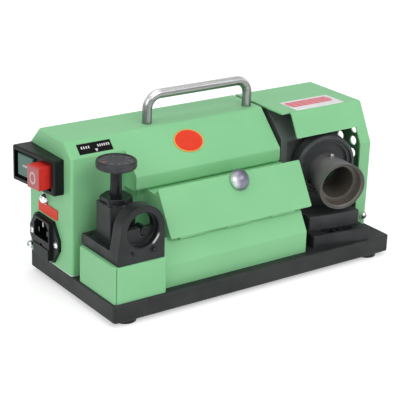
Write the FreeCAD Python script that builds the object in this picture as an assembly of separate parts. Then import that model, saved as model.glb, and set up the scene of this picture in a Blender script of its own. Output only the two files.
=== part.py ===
import FreeCAD, Part
import math
import os

V = FreeCAD.Vector

# A bench drill bit sharpener. Lengths are in millimetres. While it is drawn, x runs from the base's
# left edge, y from its front edge towards the back, and z from the bench. The finished pieces are
# moved so that the origin lies on the bench, below the middle of the whole machine.

# Clearances
running_fit = 0.05
side_gap = 0.3
seat_gap = 0.1
past = 1.0
near = 0.001

# Screw heads: the socket against the shank, the recess floor and the cross against the head
socket_across = 1.6
recess_floor = 0.45
cross_length = 0.62
cross_width = 0.12

# Base plate and feet
base_length = 290.0
base_depth = 137.0
base_thickness = 15.5
base_corner = 3.0
base_edge = 0.8
foot_height = 4.0
foot_radius = 9.0
foot_round = 0.8
foot_inset_side = 17.0
foot_inset_front = 11.0
foot_screw_radius = 2.0
foot_screw_head = 3.8
foot_screw_head_height = 2.0
foot_screw_grip = 6.0
foot_slot_width = 0.8
foot_slot_depth = 1.2

# Green sheet covers
sheet = 1.5
bend = 3.0
end_round = 2.4
cover_height = 113.0
cover_back_chamfer = 16.8
hood_length = 88.5
main_slope_deg = 45.0
front_shelf = 66.5
slope_run = 11.7
nose_overhang = 17.9
nose_start = 50.0
nose_bottom = 70.6
cover_gap = 4.0
hood_top_depth = 69.6
hood_slope_deg = 62.5
hood_overhang = 18.0
skirt_bottom = 92.6
skirt_step = 8.2
border_width = 13.0
vent_radius = 4.2
vent_pitch_y = 17.5
vent_pitch_z = 11.6
vent_rows = 3
vent_columns = 4
vent_setback = 23.0
vent_bottom = 62.0

# Cover brackets and screws
bracket_thickness = 2.5
bracket_width = 6.5
bracket_height = 14.0
bracket_foot = 8.0
cover_screw_radius = 1.9
cover_screw_head = 3.3
cover_screw_head_height = 5.4
cover_screw_length = 9.0
cover_screw_height = 6.5
border_screw_height = 9.5

# Carry handle
handle_radius = 4.1
handle_end = 9.1
handle_span = 103.8
handle_setback = 9.4
handle_rise = 24.0
handle_bend = 12.0
handle_screw_radius = 2.0
handle_screw_head = 4.5
handle_screw_head_height = 2.5
handle_screw_grip = 9.0

# Collet box, its door and what stands in it
box_left = 53.0
box_overhang = 1.8
box_wall_left = 61.5
box_front = 8.5
box_bend_height = 19.0
box_slope_deg = 60.0
box_top_gap = 0.6
box_back_gap = 0.4
apron = 23.0
opening_length = 38.0
door_left = 61.2
door_overhang = 8.5
door_length = 41.8
door_lift = 6.1
door_flange = 4.0
hinge_rise = 20.5
hinge_lift = 2.7
hinge_pin_radius = 1.0
knuckle_radius = 1.7
knuckle_length = 8.0
hinge_margin = 10.0
door_drop = 0.5
door_edge = 0.7
knob_radius = 9.2
knob_height = 7.0
knob_neck_radius = 4.0
knob_neck_height = 1.6
knob_along = 35.6
knob_from_left = 79.2
knob_stud_radius = 2.0
rack_depth = 14.0
rack_thickness = 3.0
rack_low = 19.0
rack_length = 44.0
collet_row = 29.5
collet_row_pitch = 19.6
collet_pitch = 22.0
collet_collar = 9.5
collet_collar_length = 2.4
collet_groove = 7.8
collet_groove_length = 2.2
collet_nose = 7.6
collet_nose_length = 3.4
collet_root = 9.0
collet_tail = 6.6
collet_room = 2.35
collet_hole = 8.7
smallest_drill = 2.0
largest_drill = 13.0
collet_slit = 0.6
collet_slit_share = 0.7
collet_slits = 4

# Pedestal and setting fixture
pedestal_left = 1.8
pedestal_width = 49.2
pedestal_front = 2.3
pedestal_depth = 56.2
pedestal_height = 30.8
pedestal_sheet = 2.0
pedestal_edge = 1.2
setting_inset_left = 3.7
setting_inset_front = 1.7
setting_width = 43.7
setting_depth = 56.0
setting_plate = 9.4
ring_height = 26.1
ring_depth = 13.0
ring_radius = 20.3
ring_bore = 14.6
ring_chamfer = 1.2
ring_seat_depth = 6.5
ring_step = 1.0
web_setback = 1.4
web_drop = 1.0
post_width = 24.0
post_depth = 22.0
post_height = 39.6
post_x = 25.0
post_back = 9.5
post_corner = 1.5
slot_clearance = 0.7
stop_thickness = 4.0
stop_width = 18.0
stop_finger_radius = 3.5
stop_finger_side = 5.4
stop_finger_drop = 3.4
stop_finger_inset = 0.4
stop_arm_width = 10.0
stop_arm_height = 6.0
stop_arm_rise = 3.0
stop_room = 0.5
spindle_radius = 4.7
spindle_tip_radius = 2.5
spindle_tip_length = 4.5
spindle_room = 0.6
lock_nut_across = 23.0
lock_nut_height = 4.0
lock_nut_land = 1.0
lock_collar_radius = 13.4
lock_collar_height = 1.3
dial_radius = 16.4
dial_thickness = 7.0
dial_top = 75.3
dial_hub_radius = 7.0
dial_hub_height = 3.0
dial_rim = 2.2
dial_dish = 0.8
dial_edge = 1.9
dial_lead = 1.5
dial_turn_deg = 150.0
setting_screw_radius = 2.0
setting_screw_head = 3.5
setting_screw_head_height = 4.0
setting_screw_edge = 5.2
setting_screw_back = 5.4
setting_screw_grip = 6.0
setting_pin_radii = (2.4, 1.6)
setting_pin_depth = 8.0
setting_pin_chamfer = 0.45
setting_pin_angles_deg = (-61.5, -119.5)
setting_pin_offset = 5.4

# Switch on the left end
switch_back = 3.0
switch_length = 55.5
switch_bottom = 67.8
switch_height = 30.0
switch_reach_front = 9.3
switch_reach_back = 17.5
switch_round = 2.0
switch_edge = 1.2
switch_wall = 3.2
switch_recess = 3.4
button_starts = (6.0, 29.0)
button_widths = (15.0, 20.5)
button_height = 19.0
button_round = 1.2
stem_radius = 3.0
stem_grip = 6.0
start_sunk = 0.8
start_travel = 2.2
stop_proud = 11.0
stop_travel = 2.6
switch_block_depth = 24.0
switch_block_inset = 5.0

# Mains inlet
inlet_back = 29.4
inlet_centre = 21.2
inlet_width = 29.0
inlet_height = 36.0
inlet_ears = 48.0
inlet_ear_height = 9.0
inlet_flange = 3.0
inlet_boss = 2.6
inlet_boss_inset = 1.0
inlet_boss_corner = 2.0
inlet_corner = 1.5
inlet_depth = 24.0
inlet_screw_pitch = 40.0
inlet_screw_radius = 1.5
inlet_screw_head = 2.8
inlet_screw_head_height = 1.8
inlet_screw_length = 8.0
socket_width = 24.0
socket_height = 16.4
socket_depth = 15.0
socket_rise = 7.4
socket_cut = 5.0
socket_corner = 1.0
blade_width = 2.0
blade_height = 4.0
blade_length = 13.0
blade_spread = 7.0
earth_blade_rise = 4.0
live_blade_drop = 2.0
drawer_width = 25.6
drawer_height = 9.4
drawer_drop = 11.4
drawer_held = 6.0
drawer_proud = 0.8
drawer_travel = 14.0
drawer_grip = 2.0
drawer_edge = 0.5
drawer_wall = 1.6
drawer_well_start = 8.0
drawer_well_length = 8.0
plate_width = 31.0
plate_height = 9.0
plate_thickness = 1.0
plate_corner = 1.0
plate_above_inlet = 20.5
plate_forward = 3.4
earth_nut_across = 9.2
earth_hex_height = 2.5
earth_dome_height = 3.8
earth_stud_radius = 2.0
earth_above_inlet = 34.6
earth_forward = 0.6

# Control board
board_x = 40.0
board_thickness = 1.6
board_room = 7.5
board_height = 62.0
board_rise = 8.0
board_pillar_radius = 3.0
board_back = 6.0
board_pillar_inset = 8.0
choke_radius = 7.5
choke_length = 8.6
choke_place = (13.5, 43.4)
capacitor_radius = 8.0
capacitor_length = 9.7
capacitor_back = 16.2
capacitor_rise = 43.4
relay_depth = 8.0
relay_place = (8.0, 9.3)
relay_size = (19.0, 16.7)
bridge_depth = 5.4
bridge_back = 20.5
bridge_rise = 7.4
bridge_size = (14.0, 17.4)

# Motor
motor_back_gap = 7.0
motor_front_gap = 4.5
motor_height = 53.5
motor_left = 80.0
motor_end_gap = 29.5
can_wall = 2.2
magnet_thickness = 4.5
magnet_angle_deg = 120.0
air_gap = 0.9
bell_depth = 14.0
bell_wall = 4.0
bell_lip = 1.6
bell_shaft_room = 0.6
bearing_outer = 13.0
bearing_width = 8.0
shaft_radius = 5.0
rotor_gap = 2.0
armature_slots = 12
armature_slot_width_share = 0.118
armature_slot_depth_share = 0.245
commutator_radius = 11.0
commutator_length = 13.0
fan_room = 5.8
fan_disc = 2.0
fan_width = 9.0
fan_hub_radius = 8.0
fan_blades = 9
fan_blade = 1.2
brush_radius = 5.0
brush_length = 7.0
brush_cap_radius = 6.5
brush_cap_height = 2.8
cradle_width = 9.0
cradle_span = 44.0
cradle_wrap = 15.0
cradle_end = 14.0
cradle_screw_radius = 2.5
cradle_screw_head = 4.4
cradle_screw_head_height = 4.6
cradle_screw_pitch = 30.0
cradle_screw_grip = 9.0

# Grinding wheel and guard
wheel_from_right = 47.0
wheel_room = 0.9
wheel_width = 9.0
wheel_taper_deg = 23.0
rim_thickness = 5.0
hub_radius = 14.0
hub_flange = 3.0
hub_neck_radius = 8.5
hub_neck_length = 9.0
wheel_nut_across = 17.0
wheel_nut_height = 7.0
shaft_end = 2.0
guard_left_gap = 7.0
guard_width = 62.0
guard_wall = 4.0
guard_reach = 10.5
guard_shoulder = 88.6
guard_slope_deg = 45.0
guard_top_gap = 0.7
guard_hem = 14.0
guard_round = 2.0
guard_window_depth = 21.0
guard_foot_gap = 5.4
guard_strip = 6.5
guard_baffle_width = 26.0
guard_baffle_setback = 5.5
guard_baffle_thickness = 3.0
guard_shaft_room = 3.0
guard_lug = 10.0
guard_lug_height = 6.0
guard_lug_margin = 4.0
guard_screw_radius = 2.4
guard_screw_head = 4.2
guard_screw_head_height = 4.0
guard_screw_grip = 8.0
guard_screw_margin = 5.0

# Swivelling grinding port
swivel_rest_deg = 8.0
swivel_left_deg = 7.0
swivel_right_deg = 8.0
port_tilt_deg = 4.1
port_yaw_deg = 7.2
port_reach = 65.7
port_side = 8.2
port_tip_above_motor = 3.7
contact_bite = 4.1
swivel_width = 57.6
swivel_front = 69.6
swivel_thickness = 11.5
swivel_shoulder = 34.0
swivel_corner = 1.5
swivel_waist = 2.0
swivel_tail = 15.0
swivel_tail_start = 7.5
swivel_tail_round = 13.5
pivot_radius = 6.0
pivot_head = 9.0
pivot_head_height = 3.0
pivot_grip = 9.0
lock_screw_radius = 3.0
lock_screw_head = 5.0
lock_screw_head_height = 5.0
lock_screw_grip = 9.0
lock_screw_reach = 62.2
lock_screw_sunk = 0.5
lock_slot_spare_deg = 2.5
holder_width = 52.0
holder_front = 56.5
holder_back = 24.0
holder_height = 12.5
holder_corner = 1.5
column_width = 34.0
column_front = 40.0
holder_ring_radius = 27.6
holder_ring_rise = 8.0
holder_ring_left = 3.0
holder_ring_rim = 2.6
holder_ring_recess = 3.0
holder_well_radius = 21.8
holder_well_depth = 6.5
holder_ring_depth = 11.8
holder_ring_chamfer = 1.6
sleeve_radius = 21.4
sleeve_rim = 2.9
sleeve_bore_depth = 10.0
sleeve_throat = 15.0
sleeve_wall = 2.0
sleeve_showing = 29.0
sleeve_inside = 15.5
sleeve_lip = 1.5
index_pin_radius = 2.2
index_pin_proud = 3.2
index_pin_sunk = 1.6
index_pin_back = 26.4
index_pin_crown = 1.0

# Places that follow from the sizes
deck = foot_height + base_thickness
cover_top = deck + cover_height
back_top = cover_top - cover_back_chamfer
top_back = base_depth - cover_back_chamfer
recess_front = front_shelf
top_front = recess_front + slope_run
main_cover_length = base_length - hood_length - cover_gap
recess_top = cover_top - slope_run * math.tan(math.radians(main_slope_deg))
nose_front = recess_front - nose_overhang
nose_top = cover_top - (top_front - nose_front) * math.tan(math.radians(main_slope_deg))
nose_low = deck + nose_bottom
hood_left = main_cover_length + cover_gap
hood_front = top_back - hood_top_depth
border_front = hood_front - hood_overhang
border_top = cover_top - hood_overhang * math.tan(math.radians(hood_slope_deg))
skirt_low = deck + skirt_bottom
skirt_left = hood_left + skirt_step
border_left = base_length - border_width
handle_y = top_front + handle_setback
handle_right = main_cover_length - handle_end
handle_left = handle_right - handle_span
hinge_half = 3 * knuckle_length / 2
box_right = main_cover_length + box_overhang
door_right = box_right + door_overhang
box_back = recess_front - box_back_gap
box_top = nose_low - box_top_gap
box_bend = deck + box_bend_height
slope_cos = math.cos(math.radians(box_slope_deg))
slope_sin = math.sin(math.radians(box_slope_deg))
slope_top_y = box_front + (box_top - box_bend) * slope_cos / slope_sin
collet_seat = (collet_root - collet_hole + running_fit) / (collet_root - collet_tail)
collet_back = box_back - sheet - collet_room - box_front
collet_high = (collet_row + collet_row_pitch + collet_tail) * slope_cos
collet_depth = (collet_back - collet_high) / slope_sin - rack_depth
collet_taper_length = collet_depth / (1 - collet_seat)
pedestal_top = deck + pedestal_height
pedestal_right = pedestal_left + pedestal_width
pedestal_rear = pedestal_front + pedestal_depth
setting_left = pedestal_left + setting_inset_left
setting_front = pedestal_front + setting_inset_front
setting_rear = setting_front + setting_depth
setting_right = setting_left + setting_width
plate_top = pedestal_top + setting_plate
ring_x = setting_right - ring_radius
ring_z = pedestal_top + ring_height
ring_back = setting_front + ring_depth
ring_throat = ring_bore - ring_step
post_front = setting_rear - post_back - post_depth
dial_y = post_front + post_depth / 2
post_top = pedestal_top + post_height
dial_z = pedestal_top + dial_top
stop_play = dial_lead * dial_turn_deg / 360 + stop_room
arm_low = plate_top + stop_arm_rise
arm_top = arm_low + stop_arm_height
switch_rear = base_depth - switch_back
switch_front = switch_rear - switch_length
switch_low = deck + switch_bottom
switch_top = switch_low + switch_height
switch_turn = math.degrees(math.atan2(switch_reach_back - switch_reach_front, switch_length))
switch_face = switch_length / math.cos(math.radians(switch_turn))
button_middle = (switch_low + switch_top) / 2
switch_cos = math.cos(math.radians(switch_turn))
switch_sin = math.sin(math.radians(switch_turn))
inlet_y = base_depth - inlet_back
inlet_z = deck + inlet_centre
inlet_mouth = -inlet_flange - inlet_boss
socket_z = inlet_z + socket_rise
drawer_z = inlet_z - drawer_drop
drawer_depth = drawer_travel + drawer_held
board_front = front_shelf + sheet + board_room
board_width = base_depth - sheet - board_back - board_front
board_low = deck + board_rise
motor_radius = (base_depth - front_shelf - 2 * sheet - motor_back_gap - motor_front_gap) / 2
motor_y = base_depth - sheet - motor_back_gap - motor_radius
motor_z = deck + motor_height
motor_right = main_cover_length - motor_end_gap
magnet_outer = motor_radius - can_wall
armature_radius = magnet_outer - magnet_thickness - air_gap
fan_radius = magnet_outer - fan_room
wheel_left = base_length - wheel_from_right
wheel_right = wheel_left + wheel_width
wheel_nut_end = wheel_right + wheel_nut_height
wheel_radius = motor_back_gap + motor_radius - seat_gap - guard_wall - wheel_room
guard_left = main_cover_length + guard_left_gap
guard_right = guard_left + guard_width
guard_top = cover_top - sheet - guard_top_gap
pivot = V(wheel_left + wheel_width / 2, motor_y - wheel_radius + contact_bite, deck)
guard_front = recess_front - guard_reach
guard_rear = base_depth - sheet - seat_gap
guard_foot = pivot.y + swivel_tail + guard_foot_gap
plate_level = deck + swivel_thickness
lock_screw_seat = plate_level - lock_screw_sunk - lock_screw_head_height
tip_z = motor_z + port_tip_above_motor
tilt_cos = math.cos(math.radians(port_tilt_deg))
tilt_sin = math.sin(math.radians(port_tilt_deg))
yaw_cos = math.cos(math.radians(port_yaw_deg))
yaw_sin = math.sin(math.radians(port_yaw_deg))
mouth_way = V(-yaw_sin * tilt_cos, -yaw_cos * tilt_cos, -tilt_sin)
port_up = V(-yaw_sin * tilt_sin, -yaw_cos * tilt_sin, tilt_cos)
port_left = V(-yaw_cos, yaw_sin, 0)
sleeve_bore = sleeve_radius - sleeve_rim
sleeve_root = sleeve_throat + sleeve_wall


def block(x0, x1, y0, y1, z0, z1):
    """A box between two corners."""
    return Part.makeBox(x1 - x0, y1 - y0, z1 - z0, V(x0, y0, z0))


def rod(radius, start, end):
    """A round bar between two points."""
    way = end - start
    return Part.makeCylinder(radius, way.Length, start, way)


def tube(outer, inner, start, end):
    """A round pipe between two points."""
    over = (end - start).normalize()
    return rod(outer, start, end).cut(rod(inner, start - over, end + over))


def hexagon(across, start, end):
    """A hexagonal bar along x or z between two points, measured across its flats."""
    way = end - start
    side = V(0, 1, 0)
    other = way.normalize().cross(side)
    radius = across / math.sqrt(3)
    corners = []
    for i in range(7):
        turn = math.radians(60 * i)
        corners.append(start + side * (radius * math.cos(turn)) + other * (radius * math.sin(turn)))
    return Part.Face(Part.makePolygon(corners)).extrude(end - start)


def rounded(corners):
    """A closed wire of straight runs and tangent arcs through flat corners (a, b, radius)."""
    stops = []
    for i, (a, b, radius) in enumerate(corners):
        here = V(a, b, 0)
        before = V(*corners[i - 1][:2], 0)
        after = V(*corners[(i + 1) % len(corners)][:2], 0)
        back = (before - here).normalize()
        ahead = (after - here).normalize()
        if radius == 0:
            stops.append([here])
            continue
        half = back.getAngle(ahead) / 2
        reach = radius / math.tan(half)
        crown = here + (back + ahead).normalize() * (radius / math.sin(half) - radius)
        stops.append([here + back * reach, crown, here + ahead * reach])
    edges = []
    for i, stop in enumerate(stops):
        edges.append(Part.makeLine(stops[i - 1][-1], stop[0]))
        if len(stop) == 3:
            edges.append(Part.Arc(*stop).toShape())
    return Part.Wire(edges)


def prism(corners, start, end):
    """A flat (x, y) outline raised from one z to another."""
    shape = Part.Face(rounded(corners)).extrude(V(0, 0, end - start))
    shape.translate(V(0, 0, start))
    return shape


def prism_x(corners, start, end):
    """A (y, z) outline drawn out from one x to another."""
    shape = prism(corners, start, end)
    shape.rotate(V(), V(1, 1, 1), 120)
    return shape


def prism_y(corners, start, end):
    """An (x, z) outline drawn out from one y to another."""
    shape = prism(corners, -end, -start)
    shape.rotate(V(), V(1, 0, 0), 90)
    return shape


def inset(corners, walls):
    """The outline moved in by one wall per side; side i runs from corner i to the next one."""
    sides = []
    for i, wall in enumerate(walls):
        start = V(*corners[i][:2], 0)
        way = (V(*corners[(i + 1) % len(corners)][:2], 0) - start).normalize()
        sides.append((start + V(-way.y, way.x, 0) * wall, way))
    inner = []
    for i, (q, e) in enumerate(sides):
        p, d = sides[i - 1]
        turn = d.x * e.y - d.y * e.x
        along = ((q - p).x * e.y - (q - p).y * e.x) / turn
        spot = p + d * along
        radius = corners[i][2]
        if radius > 0:
            radius += -walls[i] if turn > 0 else walls[i]
        inner.append((spot.x, spot.y, max(radius, 0)))
    return inner


def edges_where(shape, test):
    """The edges of a shape whose bounding box passes a test."""
    return [edge for edge in shape.Edges if test(edge.BoundBox)]


def dome(radius, height, base, up):
    """A round cap of a given radius and height on a base point."""
    ball = (radius ** 2 + height ** 2) / (2 * height)
    return Part.makeSphere(ball, base + up * (height - ball), up).common(rod(radius, base, base + up * height))


def cap_screw(head, head_height, radius, length, seat, way):
    """A socket head screw whose head stands on seat and whose shank runs along way."""
    up = way * -1
    body = rod(head, seat, seat + up * head_height)
    floor = seat + up * (head_height * recess_floor)
    socket = hexagon(radius * socket_across, floor, floor + up * head_height)
    return body.fuse(rod(radius, seat, seat + way * length)).cut(socket)


def pan_screw(head, head_height, radius, length, seat, way):
    """A domed cross-head screw whose head stands on seat and whose shank runs along way."""
    up = way * -1
    shape = dome(head, head_height, seat, up).fuse(rod(radius, seat, seat + way * length))
    floor = seat + up * (head_height * recess_floor)
    upright = V(0, 0, 1)
    for long, across in ((upright, upright.cross(up)), (upright.cross(up), upright)):
        reach = long * (head * cross_length)
        half = across * (head * cross_width)
        corners = [floor - reach - half, floor + reach - half, floor + reach + half, floor - reach + half]
        shape = shape.cut(Part.Face(Part.makePolygon(corners + corners[:1])).extrude(up * head_height))
    return shape


def foot_places():
    """The four feet, inset alike from the base's corners."""
    return [V(x, y, 0) for x in (foot_inset_side, base_length - foot_inset_side)
            for y in (foot_inset_front, base_depth - foot_inset_front)]


def cover_screw_places():
    """Seats of the cover screws on the end plates and the hood's border, with the way each runs in."""
    edge = sheet + side_gap + bracket_width / 2
    rear = base_depth - edge
    height = deck + cover_screw_height
    return [(V(0, rear, height), V(1, 0, 0)),
            (V(base_length, rear, height), V(-1, 0, 0)),
            (V(base_length - edge, border_front, deck + border_screw_height), V(0, 1, 0))]


def cradle_places():
    """The two motor cradles' left faces."""
    return [motor_left + cradle_end, motor_right - cradle_end - cradle_width]


def cradle_screw_places():
    """Points on the base's underside below each cradle screw."""
    return [V(x + cradle_width / 2, motor_y + side * cradle_screw_pitch / 2, foot_height)
            for x in cradle_places() for side in (-1, 1)]


def guard_screw_places():
    """Seats of the guard's four screws on its lugs."""
    edge = guard_lug_margin + guard_screw_margin
    middles = (guard_left - guard_lug / 2, guard_right + guard_lug / 2)
    rows = (guard_foot + edge, guard_rear - edge)
    return [V(x, y, deck + guard_lug_height) for x in middles for y in rows]


def carriage(shape):
    """Puts a piece drawn about the swivel pivot, with the port pointing along -y, in its place."""
    shape = shape.copy()
    shape.rotate(V(), V(0, 0, 1), -swivel_rest_deg)
    shape.translate(V(pivot.x, pivot.y, 0))
    return shape


def port_point(back):
    """A point on the port's axis, a distance behind the sleeve's mouth, about the pivot."""
    return V(port_side, 0, tip_z) + mouth_way * (port_reach - back)


def ring_point(back):
    """A point on the axis of the holder's ring, which lies above and left of the port's axis."""
    return port_point(back) + port_up * holder_ring_rise + port_left * holder_ring_left


def on_slope(shape):
    """Puts a piece drawn with y up the box's slope and z out of it in its place on the box."""
    shape = shape.copy()
    shape.rotate(V(), V(1, 0, 0), box_slope_deg)
    shape.translate(V(0, box_front, box_bend))
    return shape


def on_switch(shape):
    """Puts a piece drawn with y along the switch's face and -x out of it in its place."""
    shape = shape.copy()
    shape.rotate(V(), V(0, 0, 1), switch_turn)
    shape.translate(V(-switch_reach_front, switch_front, 0))
    return shape


def lock_screw_foot():
    """Where the swivel's lock screw enters the base."""
    mark = Part.Vertex(0, -lock_screw_reach, deck)
    return carriage(mark).Point


def base_plate():
    corners = [(0, 0), (base_length, 0), (base_length, base_depth), (0, base_depth)]
    slab = prism([(x, y, base_corner) for x, y in corners], foot_height, deck)
    slab = slab.makeChamfer(base_edge, edges_where(slab, lambda box: box.ZLength < near))
    holes = []
    for foot in foot_places():
        start = foot + V(0, 0, foot_height)
        holes.append(rod(foot_screw_radius, start, start + V(0, 0, foot_screw_grip)))
    for spot in cradle_screw_places():
        holes.append(rod(cradle_screw_radius + running_fit, spot, V(spot.x, spot.y, deck)))
        holes.append(rod(cradle_screw_head + side_gap, spot, spot + V(0, 0, cradle_screw_head_height)))
    for seat in guard_screw_places():
        top = V(seat.x, seat.y, deck)
        holes.append(rod(guard_screw_radius, top, top - V(0, 0, guard_screw_grip)))
    holes.append(rod(pivot_radius, pivot, pivot - V(0, 0, pivot_grip)))
    lock = lock_screw_foot()
    holes.append(rod(lock_screw_radius, lock, lock - V(0, 0, lock_screw_grip)))
    return slab.cut(holes)


def rubber_feet():
    feet = []
    for foot in foot_places():
        puck = rod(foot_radius, foot, foot + V(0, 0, foot_height))
        puck = puck.makeFillet(foot_round, edges_where(puck, lambda box: box.ZMax < near))
        bore = rod(foot_screw_radius + running_fit, foot, foot + V(0, 0, foot_height))
        well = rod(foot_screw_head + side_gap, foot, foot + V(0, 0, foot_screw_head_height + side_gap))
        feet.append(puck.cut([bore, well]))
    return Part.Compound(feet)


def foot_screws():
    screws = []
    for foot in foot_places():
        seat = foot + V(0, 0, foot_screw_head_height + side_gap)
        head = rod(foot_screw_head, seat, foot + V(0, 0, side_gap))
        shank = rod(foot_screw_radius, seat, foot + V(0, 0, foot_height + foot_screw_grip))
        half = foot_slot_width / 2
        slot = block(foot.x - foot_screw_head, foot.x + foot_screw_head, foot.y - half, foot.y + half,
                     0, side_gap + foot_slot_depth)
        screws.append(head.fuse(shank).cut(slot))
    return Part.Compound(screws)


def switch_cutout():
    """The hole behind the switch housing that its buttons and contact block pass through."""
    return block(-past, sheet + past, switch_front + switch_block_inset - side_gap,
                 switch_rear - switch_block_inset + side_gap,
                 switch_low + switch_wall, switch_top - switch_wall)


def inlet_cutout():
    """The hole in the end plate round the inlet's body."""
    wide = inlet_width / 2 + side_gap
    high = inlet_height / 2 + side_gap
    return block(-past, sheet + past, inlet_y - wide, inlet_y + wide, inlet_z - high, inlet_z + high)


def end_rounding(shape, x):
    """Rounds the rim of a cover's closed end, except along the deck."""
    rim = edges_where(shape, lambda box: max(abs(box.XMin - x), abs(box.XMax - x)) < near
                      and box.ZMax > deck + near)
    return shape.makeFillet(end_round, rim)


def main_cover():
    plain = [(recess_front, deck, 0), (base_depth, deck, 0), (base_depth, back_top, bend),
             (top_back, cover_top, bend), (top_front, cover_top, bend), (recess_front, recess_top, bend)]
    nosed = plain[:5] + [(nose_front, nose_top, bend), (nose_front, nose_low, bend),
                         (recess_front, nose_low, sheet)]
    end = main_cover_length
    outer = prism_x(plain, 0, end).fuse(prism_x(nosed, nose_start, end)).removeSplitter()
    outer = end_rounding(outer, 0)
    inner = prism_x(inset(plain, [-past] + [sheet] * 5), sheet, end + past)
    inner = inner.fuse(prism_x(inset(nosed, [-past] + [sheet] * 7), nose_start + sheet, end + past))
    holes = [switch_cutout(), inlet_cutout()]
    for side in (-1, 1):
        spot = V(0, inlet_y + side * inlet_screw_pitch / 2, inlet_z)
        holes.append(rod(inlet_screw_radius + running_fit, spot - V(1, 0, 0), spot + V(sheet + past, 0, 0)))
    earth = V(0, inlet_y - earth_forward, inlet_z + earth_above_inlet)
    holes.append(rod(earth_stud_radius + running_fit, earth - V(1, 0, 0), earth + V(sheet + past, 0, 0)))
    seat, way = cover_screw_places()[0]
    holes.append(rod(cover_screw_radius + running_fit, seat - way, seat + way * (sheet + past)))
    for x in (handle_left, handle_right):
        spot = V(x, handle_y, cover_top)
        holes.append(rod(handle_screw_radius + running_fit, spot - V(0, 0, sheet + past), spot + V(0, 0, 1)))
    return outer.cut(inner).cut(holes)


def wheel_cover():
    profile = [(border_front, deck, 0), (base_depth, deck, 0), (base_depth, back_top, bend),
               (top_back, cover_top, bend), (hood_front, cover_top, bend), (border_front, border_top, bend)]
    outer = end_rounding(prism_x(profile, hood_left, base_length), base_length)
    inner = prism_x(inset(profile, [-past] + [sheet] * 5), hood_left - past, base_length - sheet)
    window = block(hood_left - past, border_left, border_front - past, guard_front, deck - past, skirt_low)
    notch = block(hood_left - past, skirt_left, border_front - past, hood_front + bend, deck - past,
                  cover_top + past)
    holes = []
    for row in range(vent_rows):
        for column in range(vent_columns):
            spot = V(base_length, border_front + vent_setback + column * vent_pitch_y,
                     deck + vent_bottom + row * vent_pitch_z)
            holes.append(rod(vent_radius, spot - V(sheet + past, 0, 0), spot + V(1, 0, 0)))
    for seat, way in cover_screw_places()[1:]:
        holes.append(rod(cover_screw_radius + running_fit, seat - way, seat + way * (sheet + past)))
    return outer.cut([inner, window, notch]).cut(holes)


def cover_brackets():
    angles = []
    wide = bracket_width / 2
    for seat, way in cover_screw_places():
        leg = block(sheet, sheet + bracket_thickness, -wide, wide, deck, deck + bracket_height)
        toe = block(sheet, sheet + bracket_foot, -wide, wide, deck, deck + bracket_thickness)
        angle = leg.fuse(toe).removeSplitter()
        angle.rotate(V(), V(0, 0, 1), math.degrees(math.atan2(way.y, way.x)))
        angle.translate(V(seat.x, seat.y, 0))
        angles.append(angle.cut(rod(cover_screw_radius, seat, seat + way * bracket_foot)))
    return Part.Compound(angles)


def cover_screws():
    return Part.Compound([pan_screw(cover_screw_head, cover_screw_head_height, cover_screw_radius,
                                    cover_screw_length, seat, way) for seat, way in cover_screw_places()])


def carry_handle():
    top = cover_top + handle_rise
    left, right, y = handle_left, handle_right, handle_y
    turn = handle_bend * (1 - math.sqrt(0.5))
    route = Part.Wire([
        Part.makeLine(V(left, y, cover_top), V(left, y, top - handle_bend)),
        Part.Arc(V(left, y, top - handle_bend), V(left + turn, y, top - turn),
                 V(left + handle_bend, y, top)).toShape(),
        Part.makeLine(V(left + handle_bend, y, top), V(right - handle_bend, y, top)),
        Part.Arc(V(right - handle_bend, y, top), V(right - turn, y, top - turn),
                 V(right, y, top - handle_bend)).toShape(),
        Part.makeLine(V(right, y, top - handle_bend), V(right, y, cover_top))])
    circle = Part.Wire(Part.makeCircle(handle_radius, V(left, y, cover_top), V(0, 0, 1)))
    bar = route.makePipeShell([circle], True, False)
    holes = [rod(handle_screw_radius, V(x, y, cover_top), V(x, y, cover_top + handle_screw_grip))
             for x in (left, right)]
    return bar.cut(holes)


def handle_screws():
    length = sheet + handle_screw_grip
    return Part.Compound([cap_screw(handle_screw_head, handle_screw_head_height, handle_screw_radius, length,
                                    V(x, handle_y, cover_top - sheet), V(0, 0, 1))
                          for x in (handle_left, handle_right)])


def knuckle_places():
    """Middles of the hinge's fixed knuckles along x."""
    first = door_left + hinge_margin + hinge_half
    last = box_right - hinge_margin - hinge_half
    return [first, (first + last) / 2, last]


def knuckle(middle, length, level):
    """One hinge knuckle with a web that reaches from the pin to a level above the slope."""
    start = V(middle - length / 2, hinge_rise, hinge_lift)
    end = start + V(length, 0, 0)
    low, high = sorted((level, hinge_lift))
    web = block(start.x, end.x, hinge_rise - hinge_pin_radius, hinge_rise + hinge_pin_radius, low, high)
    return rod(knuckle_radius, start, end).fuse(web).cut(
        rod(hinge_pin_radius + running_fit, start - V(1, 0, 0), end + V(1, 0, 0)))


def collet_box():
    side = [(box_front, deck, 0), (box_back, deck, 0), (box_back, box_top, 0),
            (slope_top_y, box_top, bend), (box_front, box_bend, bend)]
    outer = prism_x(side, box_wall_left, box_right)
    inner = prism_x(inset(side, [-past] + [sheet] * 4), box_wall_left + sheet, box_right - sheet)
    tab = prism_x([(box_front, deck, 0), (box_front + sheet, deck, 0),
                   (box_front + sheet, box_bend, 0), (box_front, box_bend, 0)], box_left, box_wall_left)
    flap = on_slope(block(box_left, box_wall_left, 0, apron, -sheet, 0))
    opening = on_slope(block(box_wall_left + sheet, box_right - sheet, apron, apron + opening_length,
                             -sheet - past, 1))
    shape = outer.cut([inner, opening]).fuse([tab, flap])
    ears = [on_slope(knuckle(middle, knuckle_length, -sheet / 2)) for middle in knuckle_places()]
    return shape.fuse(ears).removeSplitter()


def door_hinge_pin():
    places = knuckle_places()
    return on_slope(rod(hinge_pin_radius, V(places[0] - hinge_half, hinge_rise, hinge_lift),
                        V(places[-1] + hinge_half, hinge_rise, hinge_lift)))


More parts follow.
